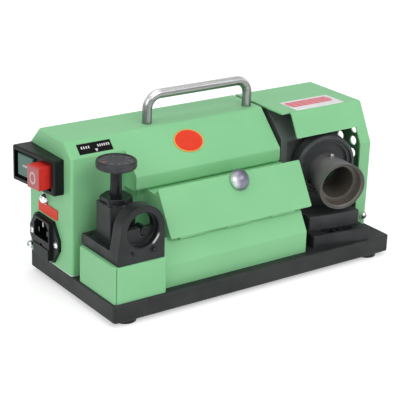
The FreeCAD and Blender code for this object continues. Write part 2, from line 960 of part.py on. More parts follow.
def collet_door():
    low = hinge_rise - door_drop
    high = low + door_length
    under = door_lift - sheet
    right = door_right
    corners = [(door_left, low), (right, low), (right, high), (door_left, high)]
    panel = prism([(x, y, sheet) for x, y in corners], under, door_lift)
    panel = panel.makeFillet(door_edge, edges_where(panel, lambda box: box.ZMin > door_lift - near))
    hem = under - door_flange
    flanges = [block(door_left, door_left + sheet, low + bend, high - bend, hem, under),
               block(right - sheet, right, low + bend, high - bend, hem, under),
               block(door_left + bend, right - bend, high - sheet, high, hem, under)]
    offset = knuckle_length + side_gap
    leaves = [knuckle(middle + turn * offset, knuckle_length, under)
              for middle in knuckle_places() for turn in (-1, 1)]
    foot = knob_foot()
    hole = rod(knob_stud_radius + running_fit, foot - V(0, 0, sheet + past), foot + V(0, 0, past))
    return on_slope(panel.fuse(flanges + leaves).removeSplitter().cut(hole))


def knob_foot():
    """Where the knob stands on the door, in the slope's own plane."""
    return V(door_left + knob_from_left, hinge_rise - door_drop + knob_along, door_lift)


def door_knob():
    foot = knob_foot()
    base = foot + V(0, 0, knob_neck_height)
    neck = rod(knob_neck_radius, foot, base)
    stud = rod(knob_stud_radius, foot - V(0, 0, sheet), base)
    return on_slope(dome(knob_radius, knob_height, base, V(0, 0, 1)).fuse([neck, stud]))


def collet_places():
    """Middles of the rack's holes in the slope's own plane."""
    room = box_right - box_wall_left - 2 * sheet
    columns = int(room // collet_pitch)
    pitch = room / columns
    start = box_wall_left + sheet + pitch / 2
    return [V(start + pitch * column, y, -rack_depth) for y in (collet_row, collet_row + collet_row_pitch)
            for column in range(columns)]


def collet_rack():
    shape = block(box_wall_left + sheet + seat_gap, box_right - sheet - seat_gap,
                  rack_low, rack_low + rack_length, -rack_depth - rack_thickness, -rack_depth)
    holes = [rod(collet_hole, place + V(0, 0, past), place - V(0, 0, rack_thickness + past))
             for place in collet_places()]
    return on_slope(shape.cut(holes))


def collet(bore):
    """One slit spring collet for a drill, its taper's root at the origin and its nose upwards."""
    groove = collet_groove_length
    collar = groove + collet_collar_length
    nose = collar + collet_nose_length
    tail = -collet_taper_length
    half = [(bore, tail), (collet_tail, tail), (collet_root, 0), (collet_groove, 0),
            (collet_groove, groove), (collet_collar, groove), (collet_collar, collar), (collet_nose, nose),
            (bore, nose), (bore, tail)]
    body = Part.Face(Part.makePolygon([V(r, 0, z) for r, z in half])).revolve(V(), V(0, 0, 1), 360)
    slits = []
    slit_end = collet_slit_share * tail
    for number in range(collet_slits):
        slit = block(0, collet_collar + past, -collet_slit / 2, collet_slit / 2, slit_end, nose + past)
        slit.rotate(V(), V(0, 0, 1), 360 * number / collet_slits)
        slits.append(slit)
    return body.cut(slits)


def collets():
    """The collets hang by their tapers in the rack's holes, from the smallest drill to the largest."""
    lift = collet_seat * collet_taper_length
    places = collet_places()
    step = (largest_drill - smallest_drill) / (len(places) - 1)
    made = []
    for number, place in enumerate(places):
        piece = collet((smallest_drill + step * number) / 2)
        piece.translate(place + V(0, 0, lift))
        made.append(on_slope(piece))
    return Part.Compound(made)


def pedestal():
    corners = [(pedestal_left, pedestal_front, bend), (pedestal_right, pedestal_front, bend),
               (pedestal_right, pedestal_rear, bend), (pedestal_left, pedestal_rear, bend)]
    outer = prism(corners, deck, pedestal_top)
    rim = edges_where(outer, lambda box: box.ZMin > pedestal_top - near)
    outer = outer.makeFillet(pedestal_edge, rim)
    inner = prism(inset(corners, [pedestal_sheet] * 4), deck - past, pedestal_top - pedestal_sheet)
    holes = [rod(setting_screw_radius, seat, seat - V(0, 0, setting_plate + pedestal_sheet + past))
             for seat in setting_screw_places()]
    return outer.cut(inner).cut(holes)


def setting_screw_places():
    """Seats of the two sunk screws at the back of the setting body's plate."""
    return [V(x, setting_rear - setting_screw_back, plate_top - setting_screw_head_height)
            for x in (setting_left + setting_screw_edge, setting_right - setting_screw_edge)]


def setting_pin_places():
    """Points on the ring's face where its pins stand, below the bore on each side, with their radii."""
    reach = ring_bore + setting_pin_offset
    turns = [math.radians(angle) for angle in setting_pin_angles_deg]
    points = [V(ring_x + reach * math.cos(turn), setting_front, ring_z + reach * math.sin(turn))
              for turn in turns]
    return list(zip(points, setting_pin_radii))


def ring_shoulder():
    """Where the casting's sloping left side runs into the ring, in x and z."""
    across, rise = setting_left - ring_x, plate_top - ring_z
    turn = math.atan2(rise, across) - math.acos(ring_radius / math.hypot(across, rise))
    return ring_x + ring_radius * math.cos(turn), ring_z + ring_radius * math.sin(turn)


def setting_body():
    plate = block(setting_left, setting_right, setting_front, setting_rear, pedestal_top, plate_top)
    rim = [(setting_left, pedestal_top), (setting_right, pedestal_top), (setting_right, ring_z),
           ring_shoulder(), (setting_left, plate_top)]
    arch = prism_y([(x, z, 0) for x, z in rim], setting_front, ring_back)
    crown = rod(ring_radius, V(ring_x, setting_front, ring_z), V(ring_x, ring_back, ring_z))
    left = post_x - post_width / 2
    right = post_x + post_width / 2
    rear = post_front + post_depth
    corners = [(left, post_front), (right, post_front), (right, rear), (left, rear)]
    post = prism([(x, y, post_corner) for x, y in corners], pedestal_top, post_top)
    shape = plate.fuse([arch, crown, post]).removeSplitter()
    face = edges_where(shape, lambda box: box.YMax < setting_front + near and box.ZMax > plate_top - near)
    shape = shape.makeFillet(ring_chamfer, face)
    mouth = V(ring_x, setting_front, ring_z)
    bore = rod(ring_bore, mouth - V(0, past, 0), mouth + V(0, ring_seat_depth, 0))
    throat = rod(ring_throat, mouth, mouth + V(0, ring_depth + past, 0))
    flare = Part.makeCone(ring_bore + ring_chamfer, ring_bore, ring_chamfer, mouth, V(0, 1, 0))
    axis = V(post_x, dial_y, arm_low)
    shaft = rod(spindle_radius + spindle_room, axis, V(post_x, dial_y, post_top + past))
    wide = stop_arm_width / 2 + spindle_room
    pocket = block(post_x - wide, post_x + wide, post_front - past, dial_y + wide,
                   arm_low - stop_play, arm_top + stop_play)
    dowels = [rod(radius, pin, pin + V(0, setting_pin_depth, 0)) for pin, radius in setting_pin_places()]
    holes = [bore, throat, flare, shaft, pocket] + dowels
    for seat in setting_screw_places():
        holes.append(rod(setting_screw_radius + running_fit, seat, seat - V(0, 0, setting_plate)))
        holes.append(rod(setting_screw_head + side_gap, seat, seat + V(0, 0, setting_screw_head_height)))
    return shape.cut(holes)


def setting_pin():
    """Two dowels stand a little proud of the ring's face and key the collet's flange."""
    pins = []
    for place, radius in setting_pin_places():
        proud = V(0, radius, 0)
        shape = rod(radius, place - proud, place + V(0, setting_pin_depth, 0))
        tip = edges_where(shape, lambda box: box.YMax < place.y)
        pins.append(shape.makeChamfer(setting_pin_chamfer, tip))
    return Part.Compound(pins)


def setting_screws():
    length = setting_plate - setting_screw_head_height + setting_screw_grip
    return Part.Compound([cap_screw(setting_screw_head, setting_screw_head_height, setting_screw_radius,
                                    length, seat, V(0, 0, -1)) for seat in setting_screw_places()])


def lock_nut():
    foot = V(post_x, dial_y, post_top)
    shoulder = foot + V(0, 0, lock_collar_height)
    top = shoulder + V(0, 0, lock_nut_height)
    land = lock_nut_across / 2 + lock_nut_land
    bevel = Part.makeCone(land + lock_nut_height, land, lock_nut_height, shoulder, V(0, 0, 1))
    nut = hexagon(lock_nut_across, shoulder, top).common(bevel)
    shape = rod(lock_collar_radius, foot, shoulder).fuse(nut)
    return shape.cut(rod(spindle_radius + running_fit, foot - V(0, 0, past), top + V(0, 0, past)))


def setting_web():
    """A half disc pressed in the ring's throat, with a notch that the stop's finger rides in."""
    front = setting_front + ring_seat_depth + web_setback
    disc = rod(ring_throat - running_fit, V(ring_x, front, ring_z), V(ring_x, ring_back, ring_z))
    lower = block(ring_x - ring_throat, ring_x + ring_throat, front, ring_back, ring_z - ring_throat,
                  ring_z - web_drop)
    x = ring_x + stop_finger_side
    floor = ring_z - stop_finger_drop - stop_play
    wide = stop_finger_radius + side_gap
    round_end = rod(wide, V(x, front - past, floor), V(x, ring_back + past, floor))
    slot = block(x - wide, x + wide, front - past, ring_back + past, floor, ring_z)
    return disc.common(lower).cut([round_end, slot])


def setting_stop():
    """The leaf behind the ring, its arm to the dial's spindle, and the finger that the drill's lip meets."""
    front = ring_back + slot_clearance
    back = front + stop_thickness
    tip = V(ring_x + stop_finger_side, setting_front + ring_seat_depth + stop_finger_inset,
            ring_z - stop_finger_drop)
    leaf = block(ring_x - stop_width / 2, ring_x + stop_width / 2, front, back, plate_top + stop_play, tip.z)
    finger = rod(stop_finger_radius, tip, V(tip.x, back, tip.z))
    wide = stop_arm_width / 2
    arm = block(post_x - wide, post_x + wide, front, dial_y + wide, arm_low, arm_top)
    mouth = V(post_x, dial_y, arm_top)
    floor = mouth - V(0, 0, spindle_tip_length + seat_gap)
    socket = rod(spindle_tip_radius + running_fit, floor, mouth + V(0, 0, past))
    return leaf.fuse([arm, finger]).removeSplitter().cut(socket)


def dial_spindle():
    top = V(post_x, dial_y, dial_z - dial_thickness)
    foot = V(post_x, dial_y, arm_top + seat_gap)
    tip = foot - V(0, 0, spindle_tip_length)
    return rod(spindle_radius, foot, top).fuse(rod(spindle_tip_radius, tip, foot))


def dial_knob():
    foot = V(post_x, dial_y, dial_z - dial_thickness)
    top = V(post_x, dial_y, dial_z)
    disc = rod(dial_radius, foot, top)
    disc = disc.makeFillet(dial_edge, edges_where(disc, lambda box: box.ZLength < near))
    dish = rod(dial_radius - dial_rim, top - V(0, 0, dial_dish), top + V(0, 0, past))
    hub = tube(dial_hub_radius, spindle_radius + running_fit, foot - V(0, 0, dial_hub_height), foot)
    return disc.cut(dish).fuse(hub)


def button_block(number, outer, inner, slack):
    """One button's block across the housing, from its face to its inner end, or with a slack its well."""
    low = button_starts[number] - slack
    high = button_starts[number] + button_widths[number] + slack
    tall = button_height / 2 + slack
    return block(outer, inner, low, high, button_middle - tall, button_middle + tall)


def button_floor(number):
    """How deep across the housing a button's front corner meets the switch block."""
    return (sheet + switch_reach_front + button_starts[number] * switch_sin) / switch_cos


def button_stem(number, travel, radius, end):
    """The round stem that guides a button in the switch block, or its bore with a bigger radius."""
    floor = button_floor(number)
    y = button_starts[number] + button_widths[number] / 2
    start = floor - travel - side_gap
    return rod(radius, V(start, y, button_middle), V(floor + end, y, button_middle))


def switch_housing():
    outline = [(0, switch_front, 0), (0, switch_rear, 0), (-switch_reach_back, switch_rear, switch_round),
               (-switch_reach_front, switch_front, switch_round)]
    shell = prism(outline, switch_low, switch_top)
    face = edges_where(shell, lambda box: box.ZLength < near and box.XMax < -near
                       and box.YLength > switch_length / 2)
    shell = shell.makeFillet(switch_edge, face)
    recess = on_switch(block(-past, switch_recess, switch_wall, switch_face - switch_wall,
                             switch_low + switch_wall, switch_top - switch_wall))
    wells = [on_switch(button_block(number, -past, switch_reach_back * 2, side_gap)) for number in (0, 1)]
    return shell.cut([recess] + wells)


def push_button(number, outer, travel):
    """One rectangular button with a rounded face and a stem that runs in the switch block."""
    cap = button_block(number, outer, button_floor(number) - travel - side_gap, 0)
    cap = cap.makeFillet(button_round, edges_where(cap, lambda box: box.XMax < outer + near))
    return on_switch(cap.fuse(button_stem(number, travel, stem_radius, stem_grip)))


def stop_button():
    return push_button(0, -stop_proud, stop_travel)


def start_button():
    return push_button(1, start_sunk, start_travel)


def switch_block():
    shape = block(sheet, sheet + switch_block_depth, switch_front + switch_block_inset,
                  switch_rear - switch_block_inset, switch_low + switch_wall + side_gap,
                  switch_top - switch_wall - side_gap)
    bores = [on_switch(button_stem(number, travel, stem_radius + running_fit, stem_grip + travel + side_gap))
             for number, travel in ((0, stop_travel), (1, start_travel))]
    return shape.cut(bores)


def inlet_body():
    wide, high = inlet_width / 2, inlet_height / 2
    ear, lug = inlet_ears / 2, inlet_ear_height / 2
    rim = [(-wide, -high), (wide, -high), (ear, -lug), (ear, lug), (wide, high), (-wide, high), (-ear, lug),
           (-ear, -lug)]
    flange = prism_x([(inlet_y + a, inlet_z + b, inlet_corner) for a, b in rim], -inlet_flange, 0)
    across, up = wide - inlet_boss_inset, high - inlet_boss_inset
    rim = [(-across, -up), (across, -up), (across, up), (-across, up)]
    boss = prism_x([(inlet_y + a, inlet_z + b, inlet_boss_corner) for a, b in rim], inlet_mouth,
                   -inlet_flange)
    body = block(0, inlet_depth, inlet_y - wide, inlet_y + wide, inlet_z - high, inlet_z + high)
    half, tall = socket_width / 2, socket_height / 2
    cut_half, cut_tall = half - socket_cut, tall - socket_cut
    rim = [(-half, -tall), (half, -tall), (half, cut_tall), (cut_half, tall), (-cut_half, tall),
           (-half, cut_tall)]
    socket = prism_x([(inlet_y + a, socket_z + b, socket_corner) for a, b in rim], inlet_mouth - past,
                     inlet_mouth + socket_depth)
    notch = V(inlet_mouth, inlet_y, drawer_z + drawer_height / 2 + side_gap)
    grip = rod(drawer_grip, notch - V(past, 0, 0), notch + V(drawer_grip, 0, 0))
    holes = [socket, drawer_box(side_gap, drawer_proud + past), grip]
    for side in (-1, 1):
        spot = V(0, inlet_y + side * inlet_screw_pitch / 2, inlet_z)
        holes.append(rod(inlet_screw_radius + running_fit, spot - V(inlet_flange + past, 0, 0),
                         spot + V(past, 0, 0)))
    return flange.fuse([boss, body]).removeSplitter().cut(holes)


def drawer_box(slack, out):
    """The fuse drawer's block, or with a slack its slot in the inlet, standing out of the mouth."""
    half = drawer_width / 2 + slack
    tall = drawer_height / 2 + slack
    return block(inlet_mouth - out, inlet_mouth + drawer_depth + slack, inlet_y - half, inlet_y + half,
                 drawer_z - tall, drawer_z + tall)


def fuse_drawer():
    body = drawer_box(0, drawer_proud)
    front = inlet_mouth - drawer_proud
    body = body.makeFillet(drawer_edge, edges_where(body, lambda box: box.XMax < front + near))
    half = drawer_width / 2 - drawer_wall
    start = inlet_mouth + drawer_well_start
    well = block(start, start + drawer_well_length, inlet_y - half, inlet_y + half,
                 drawer_z - drawer_height / 2 + drawer_wall, drawer_z + drawer_height)
    return body.cut(well)


def inlet_pins():
    floor = inlet_mouth + socket_depth
    half, tall = blade_width / 2, blade_height / 2
    spots = [(0, earth_blade_rise), (-blade_spread, -live_blade_drop), (blade_spread, -live_blade_drop)]
    return Part.Compound([block(floor - blade_length, floor, inlet_y + a - half, inlet_y + a + half,
                                socket_z + b - tall, socket_z + b + tall) for a, b in spots])


def inlet_screws():
    seats = [V(-inlet_flange, inlet_y + side * inlet_screw_pitch / 2, inlet_z) for side in (-1, 1)]
    return Part.Compound([pan_screw(inlet_screw_head, inlet_screw_head_height, inlet_screw_radius,
                                    inlet_screw_length, seat, V(1, 0, 0)) for seat in seats])


def rating_plate():
    low = inlet_y - plate_forward - plate_width / 2
    high = low + plate_width
    z = inlet_z + plate_above_inlet
    corners = [(low, z), (high, z), (high, z + plate_height), (low, z + plate_height)]
    return prism_x([(y, level, plate_corner) for y, level in corners], -plate_thickness, 0)


def earth_nut():
    seat = V(0, inlet_y - earth_forward, inlet_z + earth_above_inlet)
    waist = seat - V(earth_hex_height, 0, 0)
    nut = hexagon(earth_nut_across, seat, waist)
    cap = dome(earth_nut_across / 2, earth_dome_height, waist, V(-1, 0, 0))
    stud = rod(earth_stud_radius, seat, seat + V(sheet + 2 * earth_stud_radius, 0, 0))
    return nut.fuse([cap, stud])


def board_block(place, size, depth):
    """A square component on the board's right face, placed from the board's lower front corner."""
    face = board_x + board_thickness
    y = board_front + place[0]
    z = board_low + place[1]
    return block(face, face + depth, y, y + size[0], z, z + size[1])


def board_drum(place, radius, length):
    """A round component on the board's right face, placed by its middle."""
    spot = V(board_x + board_thickness, board_front + place[0], board_low + place[1])
    return rod(radius, spot, spot + V(length, 0, 0))


def control_board():
    """The speed board on edge across the case, on two pillars that stand on the deck."""
    card = block(board_x, board_x + board_thickness, board_front, board_front + board_width,
                 board_low, board_low + board_height)
    fitted = [board_drum(choke_place, choke_radius, choke_length),
              board_drum((board_width - capacitor_back, capacitor_rise), capacitor_radius,
                         capacitor_length),
              board_block(relay_place, relay_size, relay_depth),
              board_block((board_width - bridge_back, bridge_rise), bridge_size, bridge_depth)]
    for side in (board_pillar_inset, board_width - board_pillar_inset):
        spot = V(board_x + board_thickness / 2, board_front + side, deck)
        fitted.append(rod(board_pillar_radius, spot, spot + V(0, 0, board_rise + past)))
    return card.fuse(fitted)


def motor_point(x):
    """A point on the motor's axis."""
    return V(x, motor_y, motor_z)


def motor_can():
    return tube(motor_radius, motor_radius - can_wall, motor_point(motor_left), motor_point(motor_right))


def motor_magnets():
    ring = tube(magnet_outer - running_fit, magnet_outer - magnet_thickness,
                motor_point(motor_left + bell_depth), motor_point(motor_right - bell_depth))
    wide = motor_radius
    low = math.tan(math.radians(90 - magnet_angle_deg / 2)) * motor_radius
    pieces = []
    for side in (-1, 1):
        high = 2 * motor_radius * side
        corners = [(0, 0), (wide, side * low), (wide, high), (-wide, high), (-wide, side * low), (0, 0)]
        wedge = Part.Face(Part.makePolygon([motor_point(motor_left) + V(0, a, b) for a, b in corners]))
        pieces.append(ring.common(wedge.extrude(V(motor_right - motor_left, 0, 0))))
    return Part.Compound(pieces)


def end_bell(face, way):
    """A cast end cap on the can's end, bored for its bearing; way points out of the motor along x."""
    out = V(way, 0, 0)
    rim = motor_point(face)
    end = face + way * bell_depth
    outer = rod(motor_radius, rim, motor_point(end))
    outer = outer.makeFillet(bell_wall, edges_where(outer, lambda box: box.XLength < near
                                                    and abs(box.XMax - end) < near))
    hollow = rod(motor_radius - bell_wall, rim - out, rim + out * (bell_depth - bearing_width - seat_gap))
    seat = rod(bearing_outer + running_fit, rim, rim + out * (bell_depth - bell_lip))
    hole = rod(shaft_radius + bell_shaft_room, rim, rim + out * (bell_depth + past))
    return outer.cut([hollow, seat, hole])


def motor_front_bell():
    return end_bell(motor_right, 1)


def brush_line(side, inner, outer, radius):
    """A round bar along a brush's axis, above or below the shaft, between two distances from it."""
    middle = motor_point(motor_left - bell_depth / 2)
    return rod(radius, middle + V(0, 0, side * inner), middle + V(0, 0, side * outer))


def motor_rear_bell():
    inner = motor_radius - bell_wall
    pockets = [brush_line(side, inner - past, motor_radius + past, brush_radius) for side in (-1, 1)]
    return end_bell(motor_left, -1).cut(pockets)


def bearing_face(face, way):
    """The x of a bearing's outer side inside its bell."""
    return face + way * (bell_depth - bell_lip)


def motor_bearings():
    rings = []
    for face, way in ((motor_left, -1), (motor_right, 1)):
        end = bearing_face(face, way)
        start = end - way * bearing_width
        rings.append(tube(bearing_outer, shaft_radius + running_fit, motor_point(start), motor_point(end)))
    return Part.Compound(rings)


def brush_holders():
    inner = motor_radius - bell_wall
    end = inner + brush_length
    return Part.Compound([brush_line(side, inner, end, brush_radius - running_fit).fuse(
        brush_line(side, end - brush_cap_height, end, brush_cap_radius)) for side in (-1, 1)])


def motor_cradles():
    half = cradle_span / 2
    holes = [rod(cradle_screw_radius, spot, spot + V(0, 0, base_thickness + cradle_screw_grip))
             for spot in cradle_screw_places()]
    holes.append(rod(motor_radius + running_fit, motor_point(motor_left), motor_point(motor_right)))
    return Part.Compound([block(x, x + cradle_width, motor_y - half, motor_y + half, deck,
                                motor_z - cradle_wrap).cut(holes) for x in cradle_places()])


def cradle_screws():
    length = base_thickness - cradle_screw_head_height + cradle_screw_grip
    seats = [spot + V(0, 0, cradle_screw_head_height) for spot in cradle_screw_places()]
    return Part.Compound([cap_screw(cradle_screw_head, cradle_screw_head_height - seat_gap,
                                    cradle_screw_radius, length, seat, V(0, 0, 1)) for seat in seats])


def motor_shaft():
    start = bearing_face(motor_left, -1) - shaft_end
    return rod(shaft_radius, motor_point(start), motor_point(wheel_nut_end + shaft_end))


def armature_span():
    """The armature's two ends, between the commutator and the fan."""
    return motor_left + commutator_length + rotor_gap, motor_right - fan_width - rotor_gap


def armature():
    left, right = armature_span()
    core = tube(armature_radius, shaft_radius, motor_point(left), motor_point(right))
    half = armature_radius * armature_slot_width_share / 2
    crest = motor_z + armature_radius
    floor = crest - armature_radius * armature_slot_depth_share
    slots = []
    for number in range(armature_slots):
        slot = block(left - past, right + past, motor_y - half, motor_y + half,
                     floor, crest + past)
        slot.rotate(motor_point(left), V(1, 0, 0), 360 * number / armature_slots)
        slots.append(slot)
    return core.cut(slots)


def commutator():
    end = armature_span()[0]
    return tube(commutator_radius, shaft_radius, motor_point(end - commutator_length), motor_point(end))


def cooling_fan():
    start = armature_span()[1]
    end = start + fan_width
    fan = tube(fan_radius, shaft_radius, motor_point(start), motor_point(start + fan_disc))
    fan = fan.fuse(tube(fan_hub_radius, shaft_radius, motor_point(start), motor_point(end)))
    half = fan_blade / 2
    blades = []
    for number in range(fan_blades):
        blade = block(start, end, motor_y - half, motor_y + half, motor_z + fan_hub_radius - past,
                      motor_z + fan_radius)
        blade.rotate(motor_point(start), V(1, 0, 0), 360 * number / fan_blades)
        blades.append(blade)
    return fan.fuse(blades)


def wheel_hub():
    neck = motor_point(wheel_left - hub_flange - hub_neck_length)
    seat = motor_point(wheel_left)
    hub = rod(hub_neck_radius, neck, seat).fuse(rod(hub_radius, motor_point(wheel_left - hub_flange), seat))
    return hub.cut(rod(shaft_radius, neck - V(1, 0, 0), seat + V(1, 0, 0)))


def rim_radius(x):
    """The tapered rim's radius at a place along the axis."""
    return wheel_radius - (x - wheel_left) * math.tan(math.radians(wheel_taper_deg))


def grinding_wheel():
    core = rim_radius(wheel_right) - rim_thickness
    return tube(core, shaft_radius, motor_point(wheel_left), motor_point(wheel_right))


def abrasive_rim():
    core = rim_radius(wheel_right) - rim_thickness
    start = motor_point(wheel_left)
    cone = Part.makeCone(wheel_radius, rim_radius(wheel_right), wheel_width, start, V(1, 0, 0))
    return cone.cut(rod(core, motor_point(wheel_left - past), motor_point(wheel_right + past)))


def wheel_nut():
    nut = hexagon(wheel_nut_across, motor_point(wheel_right), motor_point(wheel_nut_end))
    return nut.cut(rod(shaft_radius, motor_point(wheel_right - past), motor_point(wheel_nut_end + past)))


def wheel_guard():
    hem = deck + guard_hem
    shoulder = deck + guard_shoulder
    slope_back = guard_front + (guard_top - shoulder) / math.tan(math.radians(guard_slope_deg))
    profile = [(guard_front, hem, 0), (guard_foot, hem, 0), (guard_foot, deck, 0), (guard_rear, deck, 0),
               (guard_rear, back_top - sheet, guard_round), (top_back - sheet, guard_top, guard_round),
               (slope_back, guard_top, guard_round), (guard_front, shoulder, guard_round)]
    outer = prism_x(profile, guard_left, guard_right)
    room = inset(profile, [-past] * 3 + [guard_wall] * 5)
    inner = prism_x(room, guard_left + guard_wall, guard_right - guard_wall)
    window = block(guard_left + guard_strip, guard_right + past, guard_front - past,
                   guard_front + guard_window_depth, deck, shoulder - guard_wall)
    passage = rod(shaft_radius + guard_shaft_room, motor_point(guard_left - past),
                  motor_point(guard_left + guard_wall + past))
    lugs = [block(x, x + guard_lug, guard_foot + guard_lug_margin, guard_rear - guard_lug_margin,
                  deck, deck + guard_lug_height) for x in (guard_left - guard_lug, guard_right)]
    holes = [rod(guard_screw_radius + running_fit, seat, seat - V(0, 0, guard_lug_height + past))
             for seat in guard_screw_places()]
    start = guard_front + guard_baffle_setback
    baffle = block(guard_left, guard_left + guard_baffle_width, start, start + guard_baffle_thickness,
                   hem, shoulder)
    return outer.cut([inner, window, passage]).fuse(lugs + [baffle]).removeSplitter().cut(holes)


def guard_screws():
    length = guard_lug_height + guard_screw_grip
    return Part.Compound([cap_screw(guard_screw_head, guard_screw_head_height, guard_screw_radius, length,
                                    seat, V(0, 0, -1)) for seat in guard_screw_places()])


def swivel_pivot():
    top = V(pivot.x, pivot.y, plate_level + seat_gap)
    pin = rod(pivot_radius, pivot - V(0, 0, pivot_grip), top)
    return pin.fuse(rod(pivot_head, top, top + V(0, 0, pivot_head_height)))


def curved_slot(wide, bottom):
    """A slot about the pivot, open at the plate's top and long enough for the whole swing."""
    low, high = V(0, 0, bottom), V(0, 0, plate_level + past)
    ring = tube(lock_screw_reach + wide, lock_screw_reach - wide, low, high)
    wedge = [low]
    ends = []
    for turn in (-swivel_right_deg - lock_slot_spare_deg, swivel_left_deg + lock_slot_spare_deg):
        way = V(math.sin(math.radians(turn)), -math.cos(math.radians(turn)), 0) * lock_screw_reach
        ends.append(rod(wide, low + way, high + way))
        wedge.append(low + way * 2)
    sector = Part.Face(Part.makePolygon(wedge + wedge[:1])).extrude(high - low)
    return [ring.common(sector)] + ends


def lock_slots():
    """The slot the lock screw stands in, and the wider one above it that hides the screw's head."""
    return (curved_slot(lock_screw_radius + side_gap, deck - past)
            + curved_slot(lock_screw_head + side_gap, lock_screw_seat))


def swivel_plate():
    half = swivel_width / 2
    tail = swivel_tail
    outline = [(-half, -swivel_front, swivel_corner), (half, -swivel_front, swivel_corner),
               (half, -swivel_shoulder, swivel_waist), (tail, -swivel_tail_start, swivel_waist),
               (tail, tail, swivel_tail_round), (-tail, tail, swivel_tail_round),
               (-tail, -swivel_tail_start, swivel_waist), (-half, -swivel_shoulder, swivel_waist)]
    shape = prism(outline, deck, plate_level)
    shape = shape.makeChamfer(base_edge, edges_where(shape, lambda box: box.ZMin > plate_level - near))
    hole = rod(pivot_radius + running_fit, V(0, 0, deck - past), V(0, 0, plate_level + past))
    return carriage(shape.cut([hole] + lock_slots()))


def swivel_lock_screw():
    foot = lock_screw_foot()
    seat = V(foot.x, foot.y, lock_screw_seat + seat_gap)
    length = seat.z - deck + lock_screw_grip
    return cap_screw(lock_screw_head, lock_screw_head_height, lock_screw_radius, length, seat, V(0, 0, -1))


def port_holder():
    half = holder_width / 2
    top = plate_level + holder_height
    corners = [(-half, -holder_front), (half, -holder_front), (half, -holder_back), (-half, -holder_back)]
    foot = prism([(x, y, holder_corner) for x, y in corners], plate_level, top)
    foot = foot.makeChamfer(base_edge, edges_where(foot, lambda box: box.ZMin > top - near))
    front = ring_point(sleeve_showing)
    step = ring_point(sleeve_showing + holder_ring_chamfer)
    back = ring_point(sleeve_showing + holder_ring_depth)
    bevel = Part.makeCone(holder_ring_radius - holder_ring_chamfer, holder_ring_radius, holder_ring_chamfer,
                          front, mouth_way * -1)
    ring = bevel.fuse(rod(holder_ring_radius, step, back))
    column = block(-column_width / 2, column_width / 2, -column_front, -holder_back, top - past, front.z)
    column = column.cut(rod(2 * holder_ring_radius, step, step + mouth_way * (2 * holder_ring_radius)))
    clear = port_point(sleeve_showing + 2 * holder_ring_depth)
    bore = rod(sleeve_root + running_fit, port_point(sleeve_showing), clear)
    recess = rod(holder_ring_radius - holder_ring_rim, front + mouth_way * past,
                 ring_point(sleeve_showing + holder_ring_recess))
    well = rod(holder_well_radius, front, ring_point(sleeve_showing + holder_well_depth))
    return carriage(foot.fuse([column, ring]).removeSplitter().cut([bore, recess, well]))


def port_sleeve():
    """A steel cup that tapers from its mouth to the neck that the holder grips, bored in two steps."""
    mouth = port_point(0)
    end = port_point(sleeve_showing + sleeve_inside)
    cup = Part.makeCone(sleeve_radius, sleeve_root, sleeve_showing, mouth, mouth_way * -1)
    shape = cup.fuse(rod(sleeve_root, port_point(sleeve_showing), end)).removeSplitter()
    bore = rod(sleeve_bore, mouth + mouth_way, port_point(sleeve_bore_depth))
    throat = rod(sleeve_throat, mouth, end - mouth_way)
    flare = Part.makeCone(sleeve_bore + sleeve_lip, sleeve_bore, sleeve_lip, mouth, mouth_way * -1)
    seat, top = index_pin_ends()
    return carriage(shape.cut([bore, throat, flare, rod(index_pin_radius, seat, top)]))


def index_pin_ends():
    """The index pin's foot in the sleeve's wall and its head above it, about the pivot."""
    spot = port_point(index_pin_back)
    outer = sleeve_radius + (sleeve_root - sleeve_radius) * index_pin_back / sleeve_showing
    return spot + port_up * (outer - index_pin_sunk), spot + port_up * (outer + index_pin_proud)


def index_pin():
    seat, top = index_pin_ends()
    up = (top - seat).normalize()
    shoulder = top - up * index_pin_crown
    pin = rod(index_pin_radius, seat, shoulder)
    return carriage(pin.fuse(dome(index_pin_radius, index_pin_crown, shoulder, up)))


makers = [
    base_plate, rubber_feet, foot_screws, main_cover, wheel_cover, cover_brackets, cover_screws,
    carry_handle, handle_screws, collet_box, collet_rack, collets, door_hinge_pin, collet_door,
    door_knob, pedestal, setting_body, setting_web, setting_screws, setting_pin, lock_nut, setting_stop,
    dial_spindle, dial_knob, switch_housing, switch_block, start_button, stop_button, inlet_body,
    inlet_pins, inlet_screws, fuse_drawer, rating_plate, earth_nut, control_board, motor_can,
    motor_magnets, motor_front_bell, motor_rear_bell, motor_bearings, brush_holders, motor_cradles,
    cradle_screws, motor_shaft, armature, commutator, cooling_fan, wheel_hub, grinding_wheel,
    abrasive_rim, wheel_nut, wheel_guard, guard_screws, swivel_pivot, swivel_plate, swivel_lock_screw,
    port_holder, port_sleeve, index_pin]

left_reach = stop_button().BoundBox.XMin
right_reach = base_length + cover_screw_head_height
origin = V((left_reach + right_reach) / 2, base_depth / 2, 0)

os.makedirs("parts", exist_ok=True)
for maker in makers:
    piece = maker()
    piece.translate(origin * -1)
    piece.exportStep("parts/" + maker.__name__ + ".step")
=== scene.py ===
import math

import bmesh
import bpy
from mathutils import Matrix, Vector


